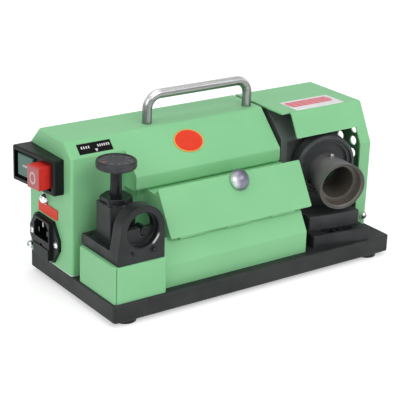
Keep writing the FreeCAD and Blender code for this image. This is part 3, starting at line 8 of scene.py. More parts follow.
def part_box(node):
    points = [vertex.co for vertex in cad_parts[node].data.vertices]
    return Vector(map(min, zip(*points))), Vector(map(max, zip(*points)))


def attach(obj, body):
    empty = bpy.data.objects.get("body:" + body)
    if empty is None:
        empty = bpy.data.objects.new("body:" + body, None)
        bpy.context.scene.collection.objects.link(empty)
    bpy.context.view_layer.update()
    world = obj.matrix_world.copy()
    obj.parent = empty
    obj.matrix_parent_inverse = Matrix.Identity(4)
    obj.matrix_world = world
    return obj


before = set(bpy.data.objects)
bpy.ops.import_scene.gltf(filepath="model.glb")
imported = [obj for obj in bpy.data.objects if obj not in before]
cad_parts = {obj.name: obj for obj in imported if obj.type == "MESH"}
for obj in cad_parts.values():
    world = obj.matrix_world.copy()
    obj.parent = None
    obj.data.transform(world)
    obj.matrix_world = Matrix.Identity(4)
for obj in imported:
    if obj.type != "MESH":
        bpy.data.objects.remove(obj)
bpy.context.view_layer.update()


# Studio. A pale floor runs under and behind the machine, with soft light from overhead and from the
# front. The camera stands a metre and a bit off the left front corner and looks down at the machine.
def put(tree, kind, feeds=None, **settings):
    """Places a node in a shader tree, sets it up and feeds its sockets from values or other nodes."""
    node = tree.nodes.new(kind)
    for name, value in settings.items():
        setattr(node, name, value)
    for socket, value in (feeds or {}).items():
        if isinstance(value, bpy.types.NodeSocket):
            tree.links.new(value, node.inputs[socket])
        else:
            node.inputs[socket].default_value = value
    return node


def new_finish(name):
    """A new material with an empty shader tree."""
    made = bpy.data.materials.new(name)
    made.use_nodes = True
    made.node_tree.nodes.clear()
    return made, made.node_tree


def sums(tree, how, first, second=0.0):
    """One step of arithmetic on one value or two."""
    return put(tree, "ShaderNodeMath", {0: first, 1: second}, operation=how).outputs[0]


def reach(tree, value, low, high, first=0.0, last=1.0):
    """Runs smoothly from first to last while the value goes from low to high."""
    feeds = {"Value": value, "From Min": low, "From Max": high, "To Min": first, "To Max": last}
    return put(tree, "ShaderNodeMapRange", feeds, interpolation_type="SMOOTHSTEP").outputs["Result"]


def seen_directly(tree):
    """1 for rays from the camera, from a mirror or through glass, which look at the backdrop itself."""
    path = put(tree, "ShaderNodeLightPath").outputs
    plain = sums(tree, "MAXIMUM", path["Is Camera Ray"], path["Is Glossy Ray"])
    return sums(tree, "MAXIMUM", plain, path["Is Transmission Ray"])


def at(x, y, z):
    """A point, given in millimetres from the slab's left front corner on the bench, in metres."""
    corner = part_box("base_plate")[0]
    return Vector((corner.x + x / 1000, corner.y + y / 1000, z / 1000))


floor_white = (0.86, 0.86, 0.86, 1)
floor_lift = 0.44
bpy.ops.object.select_all(action="DESELECT")
bpy.ops.mesh.primitive_plane_add(size=9.0, location=(0, 0, 0))
floor = bpy.context.object
floor.name = "floor"
paper, tree = new_finish("floor paper")
fibres = put(tree, "ShaderNodeTexNoise", {"Scale": 60.0, "Detail": 3.0})
speck = put(tree, "ShaderNodeMapRange", {"Value": fibres.outputs["Fac"], "To Min": 0.98, "To Max": 1.0})
tint = put(tree, "ShaderNodeMix", {0: 1.0, 6: floor_white, 7: speck.outputs["Result"]}, data_type="RGBA",
           blend_type="MULTIPLY")
matt = put(tree, "ShaderNodeBsdfDiffuse", {"Color": tint.outputs[2]})
lift = sums(tree, "MULTIPLY", seen_directly(tree), floor_lift)
glow = put(tree, "ShaderNodeEmission", {"Strength": lift})
both = put(tree, "ShaderNodeAddShader", {0: matt.outputs[0], 1: glow.outputs[0]})
put(tree, "ShaderNodeOutputMaterial", {"Surface": both.outputs[0]})
floor.data.materials.append(paper)

air_strength = 0.84
air = bpy.data.worlds.new("studio air")
bpy.context.scene.world = air
air.use_nodes = True
tree = air.node_tree
tree.nodes.clear()
path = put(tree, "ShaderNodeLightPath").outputs
way = put(tree, "ShaderNodeTexCoord").outputs["Generated"]
rise = put(tree, "ShaderNodeSeparateXYZ", {0: way}).outputs["Z"]
ceiling = reach(tree, rise, 0.05, 0.9, 1.0, 0.55)
ambient = sums(tree, "MULTIPLY", ceiling, air_strength)
white = put(tree, "ShaderNodeMix", {0: path["Is Glossy Ray"], 2: ambient, 3: ceiling}).outputs[0]
level = sums(tree, "MAXIMUM", white, path["Is Camera Ray"])
sky = put(tree, "ShaderNodeBackground", {"Strength": level})
put(tree, "ShaderNodeOutputWorld", {"Surface": sky.outputs[0]})

machine_middle = Vector((0.0, 0.0, 0.06))


def softbox(name, place, width, height, power):
    """A studio softbox: an even sheet of light turned towards the machine's middle."""
    bpy.ops.object.select_all(action="DESELECT")
    bpy.ops.object.light_add(type="AREA", location=place)
    lamp = bpy.context.object
    lamp.name = name
    lamp.rotation_euler = (machine_middle - Vector(place)).to_track_quat("-Z", "Y").to_euler()
    lamp.data.shape = "RECTANGLE"
    lamp.data.size = width
    lamp.data.size_y = height
    lamp.data.energy = power


softbox("key_softbox", place=(0.15, -1.60, 1.45), width=1.5, height=1.0, power=15.0)
softbox("top_softbox", place=(-0.1, 0.15, 1.9), width=1.6, height=1.2, power=8.5)
softbox("side_softbox", place=(-1.7, -0.55, 0.9), width=1.0, height=1.0, power=8.0)

camera_right = Vector((0.81705, -0.57567, 0.03212))
camera_up = Vector((0.18095, 0.30892, 0.93372))
camera_back = Vector((-0.54743, -0.75708, 0.35657))
camera_place = at(-489.57, -785.81, 463.96)
lens = bpy.data.cameras.new("photo camera")
lens.sensor_width = 36.0
lens.lens = 117.96
camera = bpy.data.objects.new("photo_camera", lens)
bpy.context.scene.collection.objects.link(camera)
stand = Matrix((camera_right, camera_up, camera_back)).transposed().to_4x4()
stand.translation = camera_place
camera.matrix_world = stand
bpy.context.scene.camera = camera
bpy.context.scene.view_settings.view_transform = "Standard"


# Base plate. One thick slab of grey iron, sand cast, planed on its rims and dipped in black enamel;
# everything else is bolted down on it.
def new_effect(name, asked, given):
    """A shader group with named inputs and outputs; gives its tree, its input node and its output node."""
    tree = bpy.data.node_groups.new(name, "ShaderNodeTree")
    for label, start in asked.items():
        socket = tree.interface.new_socket(label, in_out="INPUT", socket_type="NodeSocketFloat")
        socket.default_value = start
    for label in given:
        tree.interface.new_socket(label, in_out="OUTPUT", socket_type="NodeSocketFloat")
    return tree, put(tree, "NodeGroupInput"), put(tree, "NodeGroupOutput")


def spot(tree):
    """Where a point lies on its piece, in Object coordinates."""
    return put(tree, "ShaderNodeTexCoord").outputs["Object"]


def noise(tree, scale, detail, stretch=None):
    """Cloudy noise over the piece, in Object coordinates, pulled out along an axis where asked."""
    place = spot(tree)
    if stretch:
        place = put(tree, "ShaderNodeMapping", {"Vector": place, "Scale": stretch}).outputs[0]
    feeds = {"Vector": place, "Scale": scale, "Detail": detail}
    return put(tree, "ShaderNodeTexNoise", feeds).outputs["Fac"]


def uneven(tree, cloud, first=0.0, last=1.0):
    """Runs from first to last over the middle of a cloudy noise."""
    return reach(tree, cloud, 0.3, 0.7, first, last)


def vectors(tree, how, first, second=(0, 0, 0)):
    """One step of arithmetic on one vector or two; gives the node's outputs."""
    return put(tree, "ShaderNodeVectorMath", {0: first, 1: second}, operation=how).outputs


def blended(tree, share, first, second):
    """A colour between two, by a share from 0 to 1."""
    return put(tree, "ShaderNodeMix", {0: share, 6: first, 7: second}, data_type="RGBA").outputs[2]


# Edge wear and highlight: a mask on sharp edges, which the finishes use for paint and plating rubbed thin by
# hands and tools and, on the enamels, for a painted highlight along folds and rims.
edge_wear_and_highlight, asked, given = new_effect("edge wear and highlight", {"Width": 0.0008, "Breakup": 260.0}, ["Mask"])
rounded = put(edge_wear_and_highlight, "ShaderNodeBevel", {"Radius": asked.outputs["Width"]}, samples=6)
flat = put(edge_wear_and_highlight, "ShaderNodeNewGeometry")
agree = vectors(edge_wear_and_highlight, "DOT_PRODUCT", rounded.outputs["Normal"], flat.outputs["Normal"])["Value"]
corner = reach(edge_wear_and_highlight, agree, 0.995, 0.80)
worn = noise(edge_wear_and_highlight, asked.outputs["Breakup"], 4.0)
patches = reach(edge_wear_and_highlight, worn, 0.30, 0.62, 0.25, 1.0)
edge_wear_and_highlight.links.new(sums(edge_wear_and_highlight, "MULTIPLY", corner, patches), given.inputs["Mask"])

# Corner shade: painted shade that darkens inside corners and seams, from ambient occlusion broken up by
# noise.
corner_shade, asked, given = new_effect("corner shade", {"Reach": 0.006, "Breakup": 140.0}, ["Mask"])
shut = put(corner_shade, "ShaderNodeAmbientOcclusion", {"Distance": asked.outputs["Reach"]}, samples=6,
           only_local=True)
hidden = reach(corner_shade, shut.outputs["AO"], 0.95, 0.35)
shade_noise = noise(corner_shade, asked.outputs["Breakup"], 4.0)
shade_patches = reach(corner_shade, shade_noise, 0.25, 0.70, 0.35, 1.0)
corner_shade.links.new(sums(corner_shade, "MULTIPLY", hidden, shade_patches), given.inputs["Mask"])

# Cast skin: the pimpled, cloudy face that sand leaves on iron, under a coat of enamel.
cast_skin, asked, given = new_effect("cast skin", {"Grain": 900.0}, ["Height", "Mottle"])
pimples = noise(cast_skin, asked.outputs["Grain"], 4.0)
pits = put(cast_skin, "ShaderNodeTexVoronoi", {"Vector": spot(cast_skin), "Scale": asked.outputs["Grain"]})
dimple = sums(cast_skin, "MULTIPLY", reach(cast_skin, pits.outputs["Distance"], 0.0, 0.5), 0.5)
cast_skin.links.new(sums(cast_skin, "ADD", pimples, dimple), given.inputs["Height"])
cast_skin.links.new(noise(cast_skin, 38.0, 5.0), given.inputs["Mottle"])


def effect(tree, group, **values):
    """Places one of the shared effects in a finish with its own values."""
    return put(tree, "ShaderNodeGroup", {name.capitalize(): value for name, value in values.items()},
               node_tree=group).outputs


def shade(tree, feeds, height, strength, depth):
    """Closes a finish: one Principled shader, bumped by a height."""
    bump = put(tree, "ShaderNodeBump", {"Height": height, "Strength": strength, "Distance": depth})
    shader = put(tree, "ShaderNodeBsdfPrincipled", dict(feeds, Normal=bump.outputs[0]))
    put(tree, "ShaderNodeOutputMaterial", {"Surface": shader.outputs[0]})


def casting(name, dark, light, edge, grain, rough, glint=None):
    """Black enamel on sand cast iron: cloudy, pimpled, with painted shade in its corners, edges greyer from
    wear and a painted highlight, and a painted glint where asked.
    """
    made, tree = new_finish(name)
    skin = effect(tree, cast_skin, grain=grain)
    wear_and_highlight = effect(tree, edge_wear_and_highlight, width=0.0011, breakup=300.0)["Mask"]
    painted_shade = effect(tree, corner_shade, reach=0.005, breakup=160.0)["Mask"]
    enamel = blended(tree, uneven(tree, skin["Mottle"]), dark, light)
    # Painted shade: the enamel is darkened in inside corners and seams.
    shaded_enamel = blended(tree, sums(tree, "MULTIPLY", painted_shade, 0.5), enamel, (0.016, 0.016, 0.015, 1))
    # The edges turn greyer: rubbed wear and a painted highlight.
    colour = blended(tree, sums(tree, "MULTIPLY", wear_and_highlight, 0.75), shaded_enamel, edge)
    gloss = sums(tree, "ADD", reach(tree, skin["Mottle"], 0.25, 0.75, rough + 0.06, rough - 0.06),
                 sums(tree, "MULTIPLY", wear_and_highlight, -0.12))
    feeds = {"Base Color": colour, "Roughness": gloss, "Specular IOR Level": 0.32}
    if glint is not None:
        bright = glint(tree)
        feeds["Base Color"] = blended(tree, bright, colour, (0.46, 0.46, 0.45, 1))
        feeds["Metallic"] = bright
    shade(tree, feeds, skin["Height"], strength=0.22, depth=0.0002)
    return made


def dress(finish, *names):
    """Gives solids from the frame their finish."""
    for name in names:
        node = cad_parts[name]
        for slot in node.material_slots:
            slot.material = finish


slab_enamel = casting("slab enamel", dark=(0.0145, 0.017, 0.0166, 1), light=(0.024, 0.027, 0.0265, 1),
                      edge=(0.105, 0.112, 0.111, 1), grain=800.0, rough=0.52)
dress(slab_enamel, "base_plate")


# Feet. Four round pads of black moulded rubber, each held to the slab by a slotted pan screw of
# zinc plated steel.
rubber, tree = new_finish("moulded rubber")
bloom = noise(tree, 90.0, 4.0)
stipple = noise(tree, 2200.0, 2.0)
scuff = effect(tree, edge_wear_and_highlight, width=0.0009, breakup=500.0)["Mask"]
tone = blended(tree, reach(tree, bloom, 0.35, 0.7), (0.012, 0.012, 0.013, 1), (0.026, 0.026, 0.027, 1))
tone = blended(tree, sums(tree, "MULTIPLY", scuff, 0.6), tone, (0.075, 0.073, 0.070, 1))
shade(tree, {"Base Color": tone, "Roughness": uneven(tree, bloom, 0.72, 0.86)}, stipple,
      strength=0.15, depth=0.0002)
dress(rubber, "rubber_feet")

zinc, tree = new_finish("zinc plate")
clouds = noise(tree, 160.0, 4.0)
scratch = noise(tree, 420.0, 2.0, (1.0, 0.12, 1.0))
painted_shade = effect(tree, corner_shade, reach=0.0018, breakup=700.0)["Mask"]
bright = blended(tree, uneven(tree, clouds), (0.50, 0.51, 0.53, 1), (0.62, 0.61, 0.57, 1))
# Painted shade: the zinc is darkened in its corners and under the heads.
bright = blended(tree, sums(tree, "MULTIPLY", painted_shade, 0.8), bright, (0.07, 0.065, 0.06, 1))
shade(tree, {"Base Color": bright, "Metallic": 1.0, "Roughness": uneven(tree, clouds, 0.26, 0.42)}, scratch,
      strength=0.06, depth=0.0002)
dress(zinc, "foot_screws", "cover_brackets", "handle_screws", "index_pin", "swivel_pivot")


# Covers. Folded steel sheet in pale green stove enamel: the main cover over the motor, and the hood over
# the wheel. Both sit over the slab's rim and are screwed to brackets inside their ends.
def green_enamel(name, line=None, line_colour=None):
    """Sprayed green enamel: fine orange peel, a pale painted highlight along the folds, painted shade in the
    corners.
    """
    made, tree = new_finish(name)
    cloud = noise(tree, 14.0, 3.0)
    peel = noise(tree, 520.0, 2.0)
    speck = noise(tree, 3600.0, 1.0)
    wear_and_highlight = effect(tree, edge_wear_and_highlight, width=0.0014, breakup=120.0)["Mask"]
    painted_shade = effect(tree, corner_shade, reach=0.006, breakup=90.0)["Mask"]
    coat = blended(tree, uneven(tree, cloud), (0.238, 0.588, 0.285, 1), (0.258, 0.618, 0.307, 1))
    coat = blended(tree, reach(tree, speck, 0.66, 0.80, 0.0, 0.10), coat, (0.10, 0.26, 0.13, 1))
    # Painted shade: the green is darkened in inside corners and seams.
    coat = blended(tree, sums(tree, "MULTIPLY", painted_shade, 0.28), coat, (0.085, 0.235, 0.110, 1))
    # Painted highlight: the green is paled along folds and edges.
    coat = blended(tree, sums(tree, "MULTIPLY", wear_and_highlight, 0.50), coat, (0.42, 0.76, 0.46, 1))
    if line is not None:
        coat = blended(tree, sums(tree, "MULTIPLY", line(tree), 0.8), coat, line_colour)
    gloss = sums(tree, "ADD", uneven(tree, cloud, 0.42, 0.49), sums(tree, "MULTIPLY", wear_and_highlight, -0.10))
    shade(tree, {"Base Color": coat, "Roughness": gloss, "Specular IOR Level": 0.35, "Coat Weight": 0.06,
                 "Coat Roughness": 0.25}, peel, strength=0.055, depth=0.0004)
    return made


def height_of(tree):
    """How high a point lies above the bench, in metres."""
    return put(tree, "ShaderNodeSeparateXYZ", {0: spot(tree)}).outputs["Z"]


def bare_hem(tree):
    """1 along the covers' lower rim, where the green turns to a pale line."""
    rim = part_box("main_cover")[0].z
    return reach(tree, height_of(tree), rim + 0.0013, rim + 0.0006)


cover_enamel = green_enamel("cover enamel", bare_hem, (0.60, 0.76, 0.62, 1))
dress(cover_enamel, "main_cover", "wheel_cover")


# Badge. A small oval plate of enamelled tin, red inside a raised yellow rim, left blank and stuck on
# the slope of the main cover.
def choose(piece, test):
    """In edit mode, selects only the faces whose middle and normal pass the test."""
    bpy.ops.mesh.select_mode(type="FACE")
    bpy.ops.mesh.select_all(action="DESELECT")
    mesh = bmesh.from_edit_mesh(piece.data)
    for face in mesh.faces:
        if test(face.calc_center_median(), face.normal):
            face.select_set(True)
    mesh.select_flush_mode()
    bmesh.update_edit_mesh(piece.data)


def settle(piece, name, place, turn=(0, 0, 0)):
    """Names a finished piece, turns it and moves it to its place, and puts that place in its mesh."""
    piece.name = name
    piece.data.name = name
    piece.rotation_euler = turn
    piece.location = place
    bpy.ops.object.select_all(action="DESELECT")
    piece.select_set(True)
    bpy.context.view_layer.objects.active = piece
    bpy.ops.object.transform_apply(location=True, rotation=True, scale=True)
    return piece


def soften(piece, width):
    """Rounds a piece's sharp edges with an applied bevel and shades it smooth."""
    rounder = piece.modifiers.new("soft edges", "BEVEL")
    rounder.width = width
    rounder.segments = 2
    rounder.limit_method = "ANGLE"
    rounder.angle_limit = math.radians(40.0)
    bpy.ops.object.select_all(action="DESELECT")
    piece.select_set(True)
    bpy.context.view_layer.objects.active = piece
    bpy.ops.object.modifier_apply(modifier=rounder.name)
    bpy.ops.object.shade_smooth_by_angle(angle=math.radians(35.0))


slope_foot = 54.3


def slope_point(x, y, lift=0.0):
    """A point on the main cover's slope, lifted off it by a height in millimetres."""
    out = lift * math.sqrt(0.5)
    return at(x, y - out, slope_foot + y + out)


slope_turn = (math.radians(45.0), 0, 0)
badge_x, badge_y = 111.5, 64.8
badge_size = (0.0286, 0.0212, 0.0009)
bpy.ops.object.select_all(action="DESELECT")
bpy.ops.mesh.primitive_cylinder_add(vertices=96, radius=0.5, depth=1.0)
badge = bpy.context.object
badge.scale = badge_size
bpy.ops.object.transform_apply(location=False, rotation=False, scale=True)
bpy.ops.object.mode_set(mode="EDIT")
choose(badge, lambda middle, normal: normal.z > 0.9)
bpy.ops.mesh.inset(thickness=0.0011, depth=0.0)
bpy.ops.mesh.inset(thickness=0.0002, depth=-0.00028)
bpy.ops.mesh.inset(thickness=0.0030, depth=0.00006)
bpy.ops.mesh.inset(thickness=0.0035, depth=0.00005)
bpy.ops.object.mode_set(mode="OBJECT")
soften(badge, 0.00018)
badge_enamel, tree = new_finish("badge enamel")
flat = vectors(tree, "SUBTRACT", spot(tree), slope_point(badge_x, badge_y))[0]
upright = put(tree, "ShaderNodeVectorRotate", {"Vector": flat, "Angle": -slope_turn[0]},
              rotation_type="X_AXIS").outputs[0]
oval = vectors(tree, "MULTIPLY", upright, (2 / badge_size[0], 2 / badge_size[1], 0))[0]
ring = vectors(tree, "LENGTH", oval)["Value"]
rim = reach(tree, ring, 0.920, 0.940)
cloud = noise(tree, 300.0, 3.0)
red = blended(tree, uneven(tree, cloud), (0.775, 0.042, 0.014, 1), (0.800, 0.047, 0.017, 1))
colour = blended(tree, rim, red, (0.86, 0.40, 0.06, 1))
shade(tree, {"Base Color": colour, "Roughness": uneven(tree, cloud, 0.40, 0.48), "Specular IOR Level": 0.3,
             "Coat Weight": 0.08}, noise(tree, 900.0, 2.0), strength=0.02, depth=0.0001)
badge.data.materials.append(badge_enamel)
settle(badge, "badge", slope_point(badge_x, badge_y, badge_size[2] * 500 - 0.1), slope_turn)
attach(badge, "base")


# Pointer label. A black printed sticker above the dial, with a white arrow that the dial is read against
# and a plain row of scale marks beside it.
def sticker(width, height, thick, corner):
    """A thin rounded sheet lying flat, its middle at the origin."""
    bpy.ops.object.select_all(action="DESELECT")
    bpy.ops.mesh.primitive_cube_add(size=1.0)
    sheet = bpy.context.object
    sheet.scale = (width, height, thick)
    bpy.ops.object.transform_apply(location=False, rotation=False, scale=True)
    bpy.ops.object.mode_set(mode="EDIT")
    bpy.ops.mesh.select_mode(type="EDGE")
    bpy.ops.mesh.select_all(action="DESELECT")
    mesh = bmesh.from_edit_mesh(sheet.data)
    for edge in mesh.edges:
        way = edge.verts[1].co - edge.verts[0].co
        edge.select_set(abs(way.z) > 0.9 * way.length)
    bmesh.update_edit_mesh(sheet.data)
    bpy.ops.mesh.bevel(offset=corner, segments=5, affect="EDGES")
    choose(sheet, lambda middle, normal: normal.z > 0.9)
    bpy.ops.mesh.inset(thickness=thick * 0.5, depth=0.0)
    bpy.ops.transform.translate(value=(0, 0, thick * 0.1))
    bpy.ops.object.mode_set(mode="OBJECT")
    bpy.ops.object.shade_smooth_by_angle(angle=math.radians(30.0))
    return sheet


def printed(name, first, second, rough, shine=0.5):
    """Printed vinyl: a slightly uneven ink under a satin film."""
    made, tree = new_finish(name)
    cloud = noise(tree, 240.0, 4.0)
    film = noise(tree, 1500.0, 2.0)
    colour = blended(tree, uneven(tree, cloud), first, second)
    gloss = uneven(tree, film, rough - 0.05, rough + 0.07)
    shade(tree, {"Base Color": colour, "Roughness": gloss, "Specular IOR Level": shine}, film,
          strength=0.04, depth=0.0001)
    return made


black_ink = printed("black ink", first=(0.003, 0.003, 0.004, 1),
                    second=(0.005, 0.005, 0.006, 1), rough=0.60, shine=0.12)
white_ink = printed("white ink", first=(0.74, 0.72, 0.74, 1), second=(0.82, 0.80, 0.82, 1), rough=0.40)
label_x, label_y = 24.6, 71.7
pointer_label = sticker(width=0.0312, height=0.0094, thick=0.00025, corner=0.0003)
pointer_label.data.materials.append(black_ink)
settle(pointer_label, "pointer_label", slope_point(label_x, label_y, 0.12), slope_turn)
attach(pointer_label, "base")

bpy.ops.object.select_all(action="DESELECT")
bpy.ops.mesh.primitive_cylinder_add(vertices=3, radius=0.0019, depth=0.00012, rotation=(0, 0, math.pi))
arrow = bpy.context.object
bpy.ops.object.transform_apply(location=False, rotation=True, scale=False)
bpy.ops.object.mode_set(mode="EDIT")
bpy.ops.mesh.select_all(action="SELECT")
bpy.ops.transform.resize(value=(0.85, 1.0, 1.0))
bpy.ops.object.mode_set(mode="OBJECT")
soften(arrow, 0.00003)
arrow.data.materials.append(white_ink)
settle(arrow, "pointer_arrow", slope_point(label_x + 0.6, label_y - 1.75, 0.28), slope_turn)
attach(arrow, "base")


def join_up(pieces, name):
    """Makes one piece of several alike, which the first of them becomes, and names it."""
    bpy.ops.object.select_all(action="DESELECT")
    for piece in pieces:
        piece.select_set(True)
    bpy.context.view_layer.objects.active = pieces[0]
    bpy.ops.object.join()
    pieces[0].name = name


marks = []
for along in (-12.0, -9.8, -7.6, -5.4, 3.2, 5.2, 7.2, 9.2, 11.2, 13.2):
    mark = sticker(width=0.0010, height=0.0022, thick=0.00010, corner=0.00004)
    mark.data.materials.append(white_ink)
    settle(mark, "scale_mark", slope_point(label_x + along, label_y + 0.7, 0.28), slope_turn)
    marks.append(mark)
join_up(marks, "scale_marks")
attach(marks[0], "base")


# Hood label. A white strip of printed vinyl, stuck flat on top of the hood over the wheel. It carries
# plain red bands and no words.
sticker_white = printed("sticker white", first=(0.80, 0.78, 0.79, 1),
                        second=(0.86, 0.84, 0.85, 1), rough=0.42)
band_red = printed("band red", first=(0.68, 0.055, 0.095, 1), second=(0.76, 0.085, 0.125, 1), rough=0.38)
strip_height, band_height = 132.62, 132.79
strip = sticker(width=0.0535, height=0.0255, thick=0.00025, corner=0.0008)
strip.data.materials.append(sticker_white)
settle(strip, "hood_label", at(245.2, 65.8, strip_height))
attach(strip, "base")
bands = []
for back, length in ((63.2, 0.0450), (66.6, 0.0485), (70.0, 0.0485), (73.4, 0.0470)):
    band = sticker(width=length, height=0.0026, thick=0.00010, corner=0.0003)
    band.data.materials.append(band_red)
    settle(band, "hood_label_band", at(243.6, back, band_height))
    bands.append(band)
join_up(bands, "hood_label_bands")
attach(bands[0], "base")


# Cover screws. Domed, cross slotted screws of chromed brass that draw the covers' ends to the brackets.
# The earth nut and the inlet's screws are plated in the same bath.
bright_chrome, tree = new_finish("bright chrome")
haze = noise(tree, 210.0, 4.0)
wipes = noise(tree, 900.0, 2.0, (0.2, 1.0, 1.0))
painted_shade = effect(tree, corner_shade, reach=0.0012, breakup=900.0)["Mask"]
# Painted shade: the plating is darkened in its corners and round its heads.
plate = blended(tree, sums(tree, "MULTIPLY", painted_shade, 0.85), (0.80, 0.81, 0.83, 1), (0.05, 0.05, 0.05, 1))
gloss = reach(tree, haze, 0.35, 0.7, 0.06, 0.15)
shade(tree, {"Base Color": plate, "Metallic": 1.0, "Roughness": gloss}, wipes, strength=0.025, depth=0.0001)
dress(bright_chrome, "cover_screws", "earth_nut", "inlet_screws")


# Carry handle. A steel bar bent to a wide hoop and satin polished along its length; its ends are tapped
# and screwed from under the main cover.
satin_steel, tree = new_finish("satin steel")
along_bar = noise(tree, 700.0, 3.0, (0.02, 1.0, 1.0))
along_leg = noise(tree, 700.0, 3.0, (1.0, 1.0, 0.03))
bend_low, bend_high = 0.146, 0.151
bar = reach(tree, height_of(tree), bend_low, bend_high)
lines = put(tree, "ShaderNodeMix", {0: bar, 2: along_leg, 3: along_bar}).outputs[0]
smudge = noise(tree, 46.0, 4.0)
# Painted light: the legs and the bar's sides are painted dark as shade, and the bar's upward faces near
# white as a painted highlight.
shaded_leg = blended(tree, uneven(tree, lines), (0.19, 0.205, 0.195, 1), (0.33, 0.345, 0.33, 1))
normal = put(tree, "ShaderNodeNewGeometry").outputs["Normal"]
facing = put(tree, "ShaderNodeSeparateXYZ", {0: normal}).outputs["Z"]
lit_facing = reach(tree, facing, 0.15, 0.65)
shaded = blended(tree, uneven(tree, lines), (0.22, 0.235, 0.225, 1), (0.36, 0.375, 0.36, 1))
highlit = blended(tree, uneven(tree, lines), (0.88, 0.89, 0.88, 1), (0.97, 0.97, 0.97, 1))
lit_bar = blended(tree, lit_facing, shaded, highlit)
steel = blended(tree, bar, shaded_leg, lit_bar)
gloss = sums(tree, "ADD", reach(tree, lines, 0.25, 0.75, 0.22, 0.36),
             reach(tree, smudge, 0.45, 0.75, 0.0, 0.10))
shade(tree, {"Base Color": steel, "Metallic": 1.0, "Roughness": gloss}, lines,
      strength=0.05, depth=0.00015)
dress(satin_steel, "carry_handle")


# Collet box. Folded green sheet spot welded under the main cover's nose; inside it a drilled steel rack
# holds a row of spring collets by their tapers.
box_enamel = green_enamel("box enamel")
dress(box_enamel, "collet_box", "door_hinge_pin")

turned_steel, tree = new_finish("turned steel")
rings = noise(tree, 1500.0, 2.0)
stain = noise(tree, 120.0, 4.0)
wear_and_highlight = effect(tree, edge_wear_and_highlight, width=0.0005, breakup=900.0)["Mask"]
steel = blended(tree, uneven(tree, stain), (0.36, 0.355, 0.345, 1), (0.50, 0.495, 0.48, 1))
steel = blended(tree, wear_and_highlight, steel, (0.66, 0.655, 0.64, 1))
shade(tree, {"Base Color": steel, "Metallic": 1.0, "Roughness": uneven(tree, stain, 0.24, 0.38)}, rings,
      strength=0.05, depth=0.0001)
dress(turned_steel, "collets", "collet_rack", "motor_shaft", "wheel_nut", "wheel_hub", "motor_bearings")


# Collet door. A shallow green lid that hangs on a pin along its lower edge and is pulled open by a
# chromed dome knob, painted dark violet in the middle and near white at its sides as a painted reflection.
dress(box_enamel, "collet_door")
knob_low, knob_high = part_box("door_knob")
knob_chrome, tree = new_finish("knob chrome")
across = put(tree, "ShaderNodeSeparateXYZ", {0: spot(tree)}).outputs["X"]
aside = sums(tree, "ABSOLUTE", sums(tree, "SUBTRACT", across, (knob_low.x + knob_high.x) / 2))
# Painted reflection: the dome is dark violet in its middle and near white towards its sides.
bright_reflection = reach(tree, aside, 0.0030, 0.0085)
haze = noise(tree, 210.0, 4.0)
plate = blended(tree, bright_reflection, (0.235, 0.230, 0.300, 1), (0.80, 0.81, 0.84, 1))
shade(tree, {"Base Color": plate, "Metallic": 1.0, "Roughness": uneven(tree, haze, 0.36, 0.44)},
      noise(tree, 900.0, 2.0, (0.2, 1.0, 1.0)), strength=0.025, depth=0.0001)
dress(knob_chrome, "door_knob")


# Pedestal. A box of folded green sheet welded at its corners, on which the setting fixture stands;
# the welded seam shows as a fine dark line down its left front corner.
def corner_seam(tree):
    """1 on the thin line where the pedestal's front sheet meets its left one."""
    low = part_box("pedestal")[0]
    side = put(tree, "ShaderNodeSeparateXYZ", {0: spot(tree)}).outputs
    near = sums(tree, "ABSOLUTE", sums(tree, "SUBTRACT", side["X"], low.x + 0.0016))
    line = reach(tree, near, 0.00055, 0.00025)
    face = reach(tree, side["Y"], low.y + 0.0012, low.y + 0.0006)
    return sums(tree, "MULTIPLY", line, face)


pedestal_enamel = green_enamel("pedestal enamel", corner_seam, (0.06, 0.14, 0.075, 1))
dress(pedestal_enamel, "pedestal")


# Setting fixture. A black iron casting with a bored ring and a post, screwed on the pedestal; a drill in
# its collet is pushed through the ring against a stop that the dial raises and lowers.
ring_mouth = at(28.9, 4.0, 76.4)


def worn_lip(tree):
    """1 on the lower right of the ring's flared mouth, where a glint of bright bare metal is painted; the
    rest of the mouth has none.
    """
    lower_right = (0.79, 0, -0.61)
    near = vectors(tree, "SUBTRACT", spot(tree), ring_mouth)[0]
    flat = vectors(tree, "MULTIPLY", near, (1, 0, 1))[0]
    radius = vectors(tree, "LENGTH", flat)["Value"]
    toward = vectors(tree, "DOT_PRODUCT", flat, lower_right)["Value"]
    band = sums(tree, "MULTIPLY", reach(tree, radius, 0.01462, 0.0148), reach(tree, radius, 0.0159, 0.0156))
    return sums(tree, "MULTIPLY", band, reach(tree, sums(tree, "DIVIDE", toward, radius), 0.925, 0.985))


fixture_enamel = casting("fixture enamel", dark=(0.010, 0.012, 0.0128, 1), light=(0.020, 0.023, 0.024, 1),
                         edge=(0.105, 0.110, 0.112, 1), grain=1100.0, rough=0.46, glint=worn_lip)
dress(fixture_enamel, "setting_body", "setting_web")


def black_oxide(name, dark, light, rough):
    """Steel blacked in hot salts: dark, a little oily, bare along the rubbed edges."""
    made, tree = new_finish(name)
    oil = noise(tree, 130.0, 4.0)
    fine = noise(tree, 1800.0, 2.0)
    wear_and_highlight = effect(tree, edge_wear_and_highlight, width=0.0007, breakup=420.0)["Mask"]
    colour = blended(tree, uneven(tree, oil), dark, light)
    colour = blended(tree, sums(tree, "MULTIPLY", wear_and_highlight, 0.7), colour, (0.22, 0.22, 0.225, 1))
    gloss = uneven(tree, oil, rough - 0.06, rough + 0.06)
    shade(tree, {"Base Color": colour, "Metallic": 0.55, "Roughness": gloss, "Specular IOR Level": 0.3},
          fine, strength=0.06, depth=0.0001)
    return made


oiled_black = black_oxide("oiled black steel", dark=(0.011, 0.0125, 0.0145, 1),
                          light=(0.021, 0.023, 0.026, 1), rough=0.30)
dress(oiled_black, "lock_nut", "dial_spindle", "setting_stop", "setting_screws", "setting_pin")


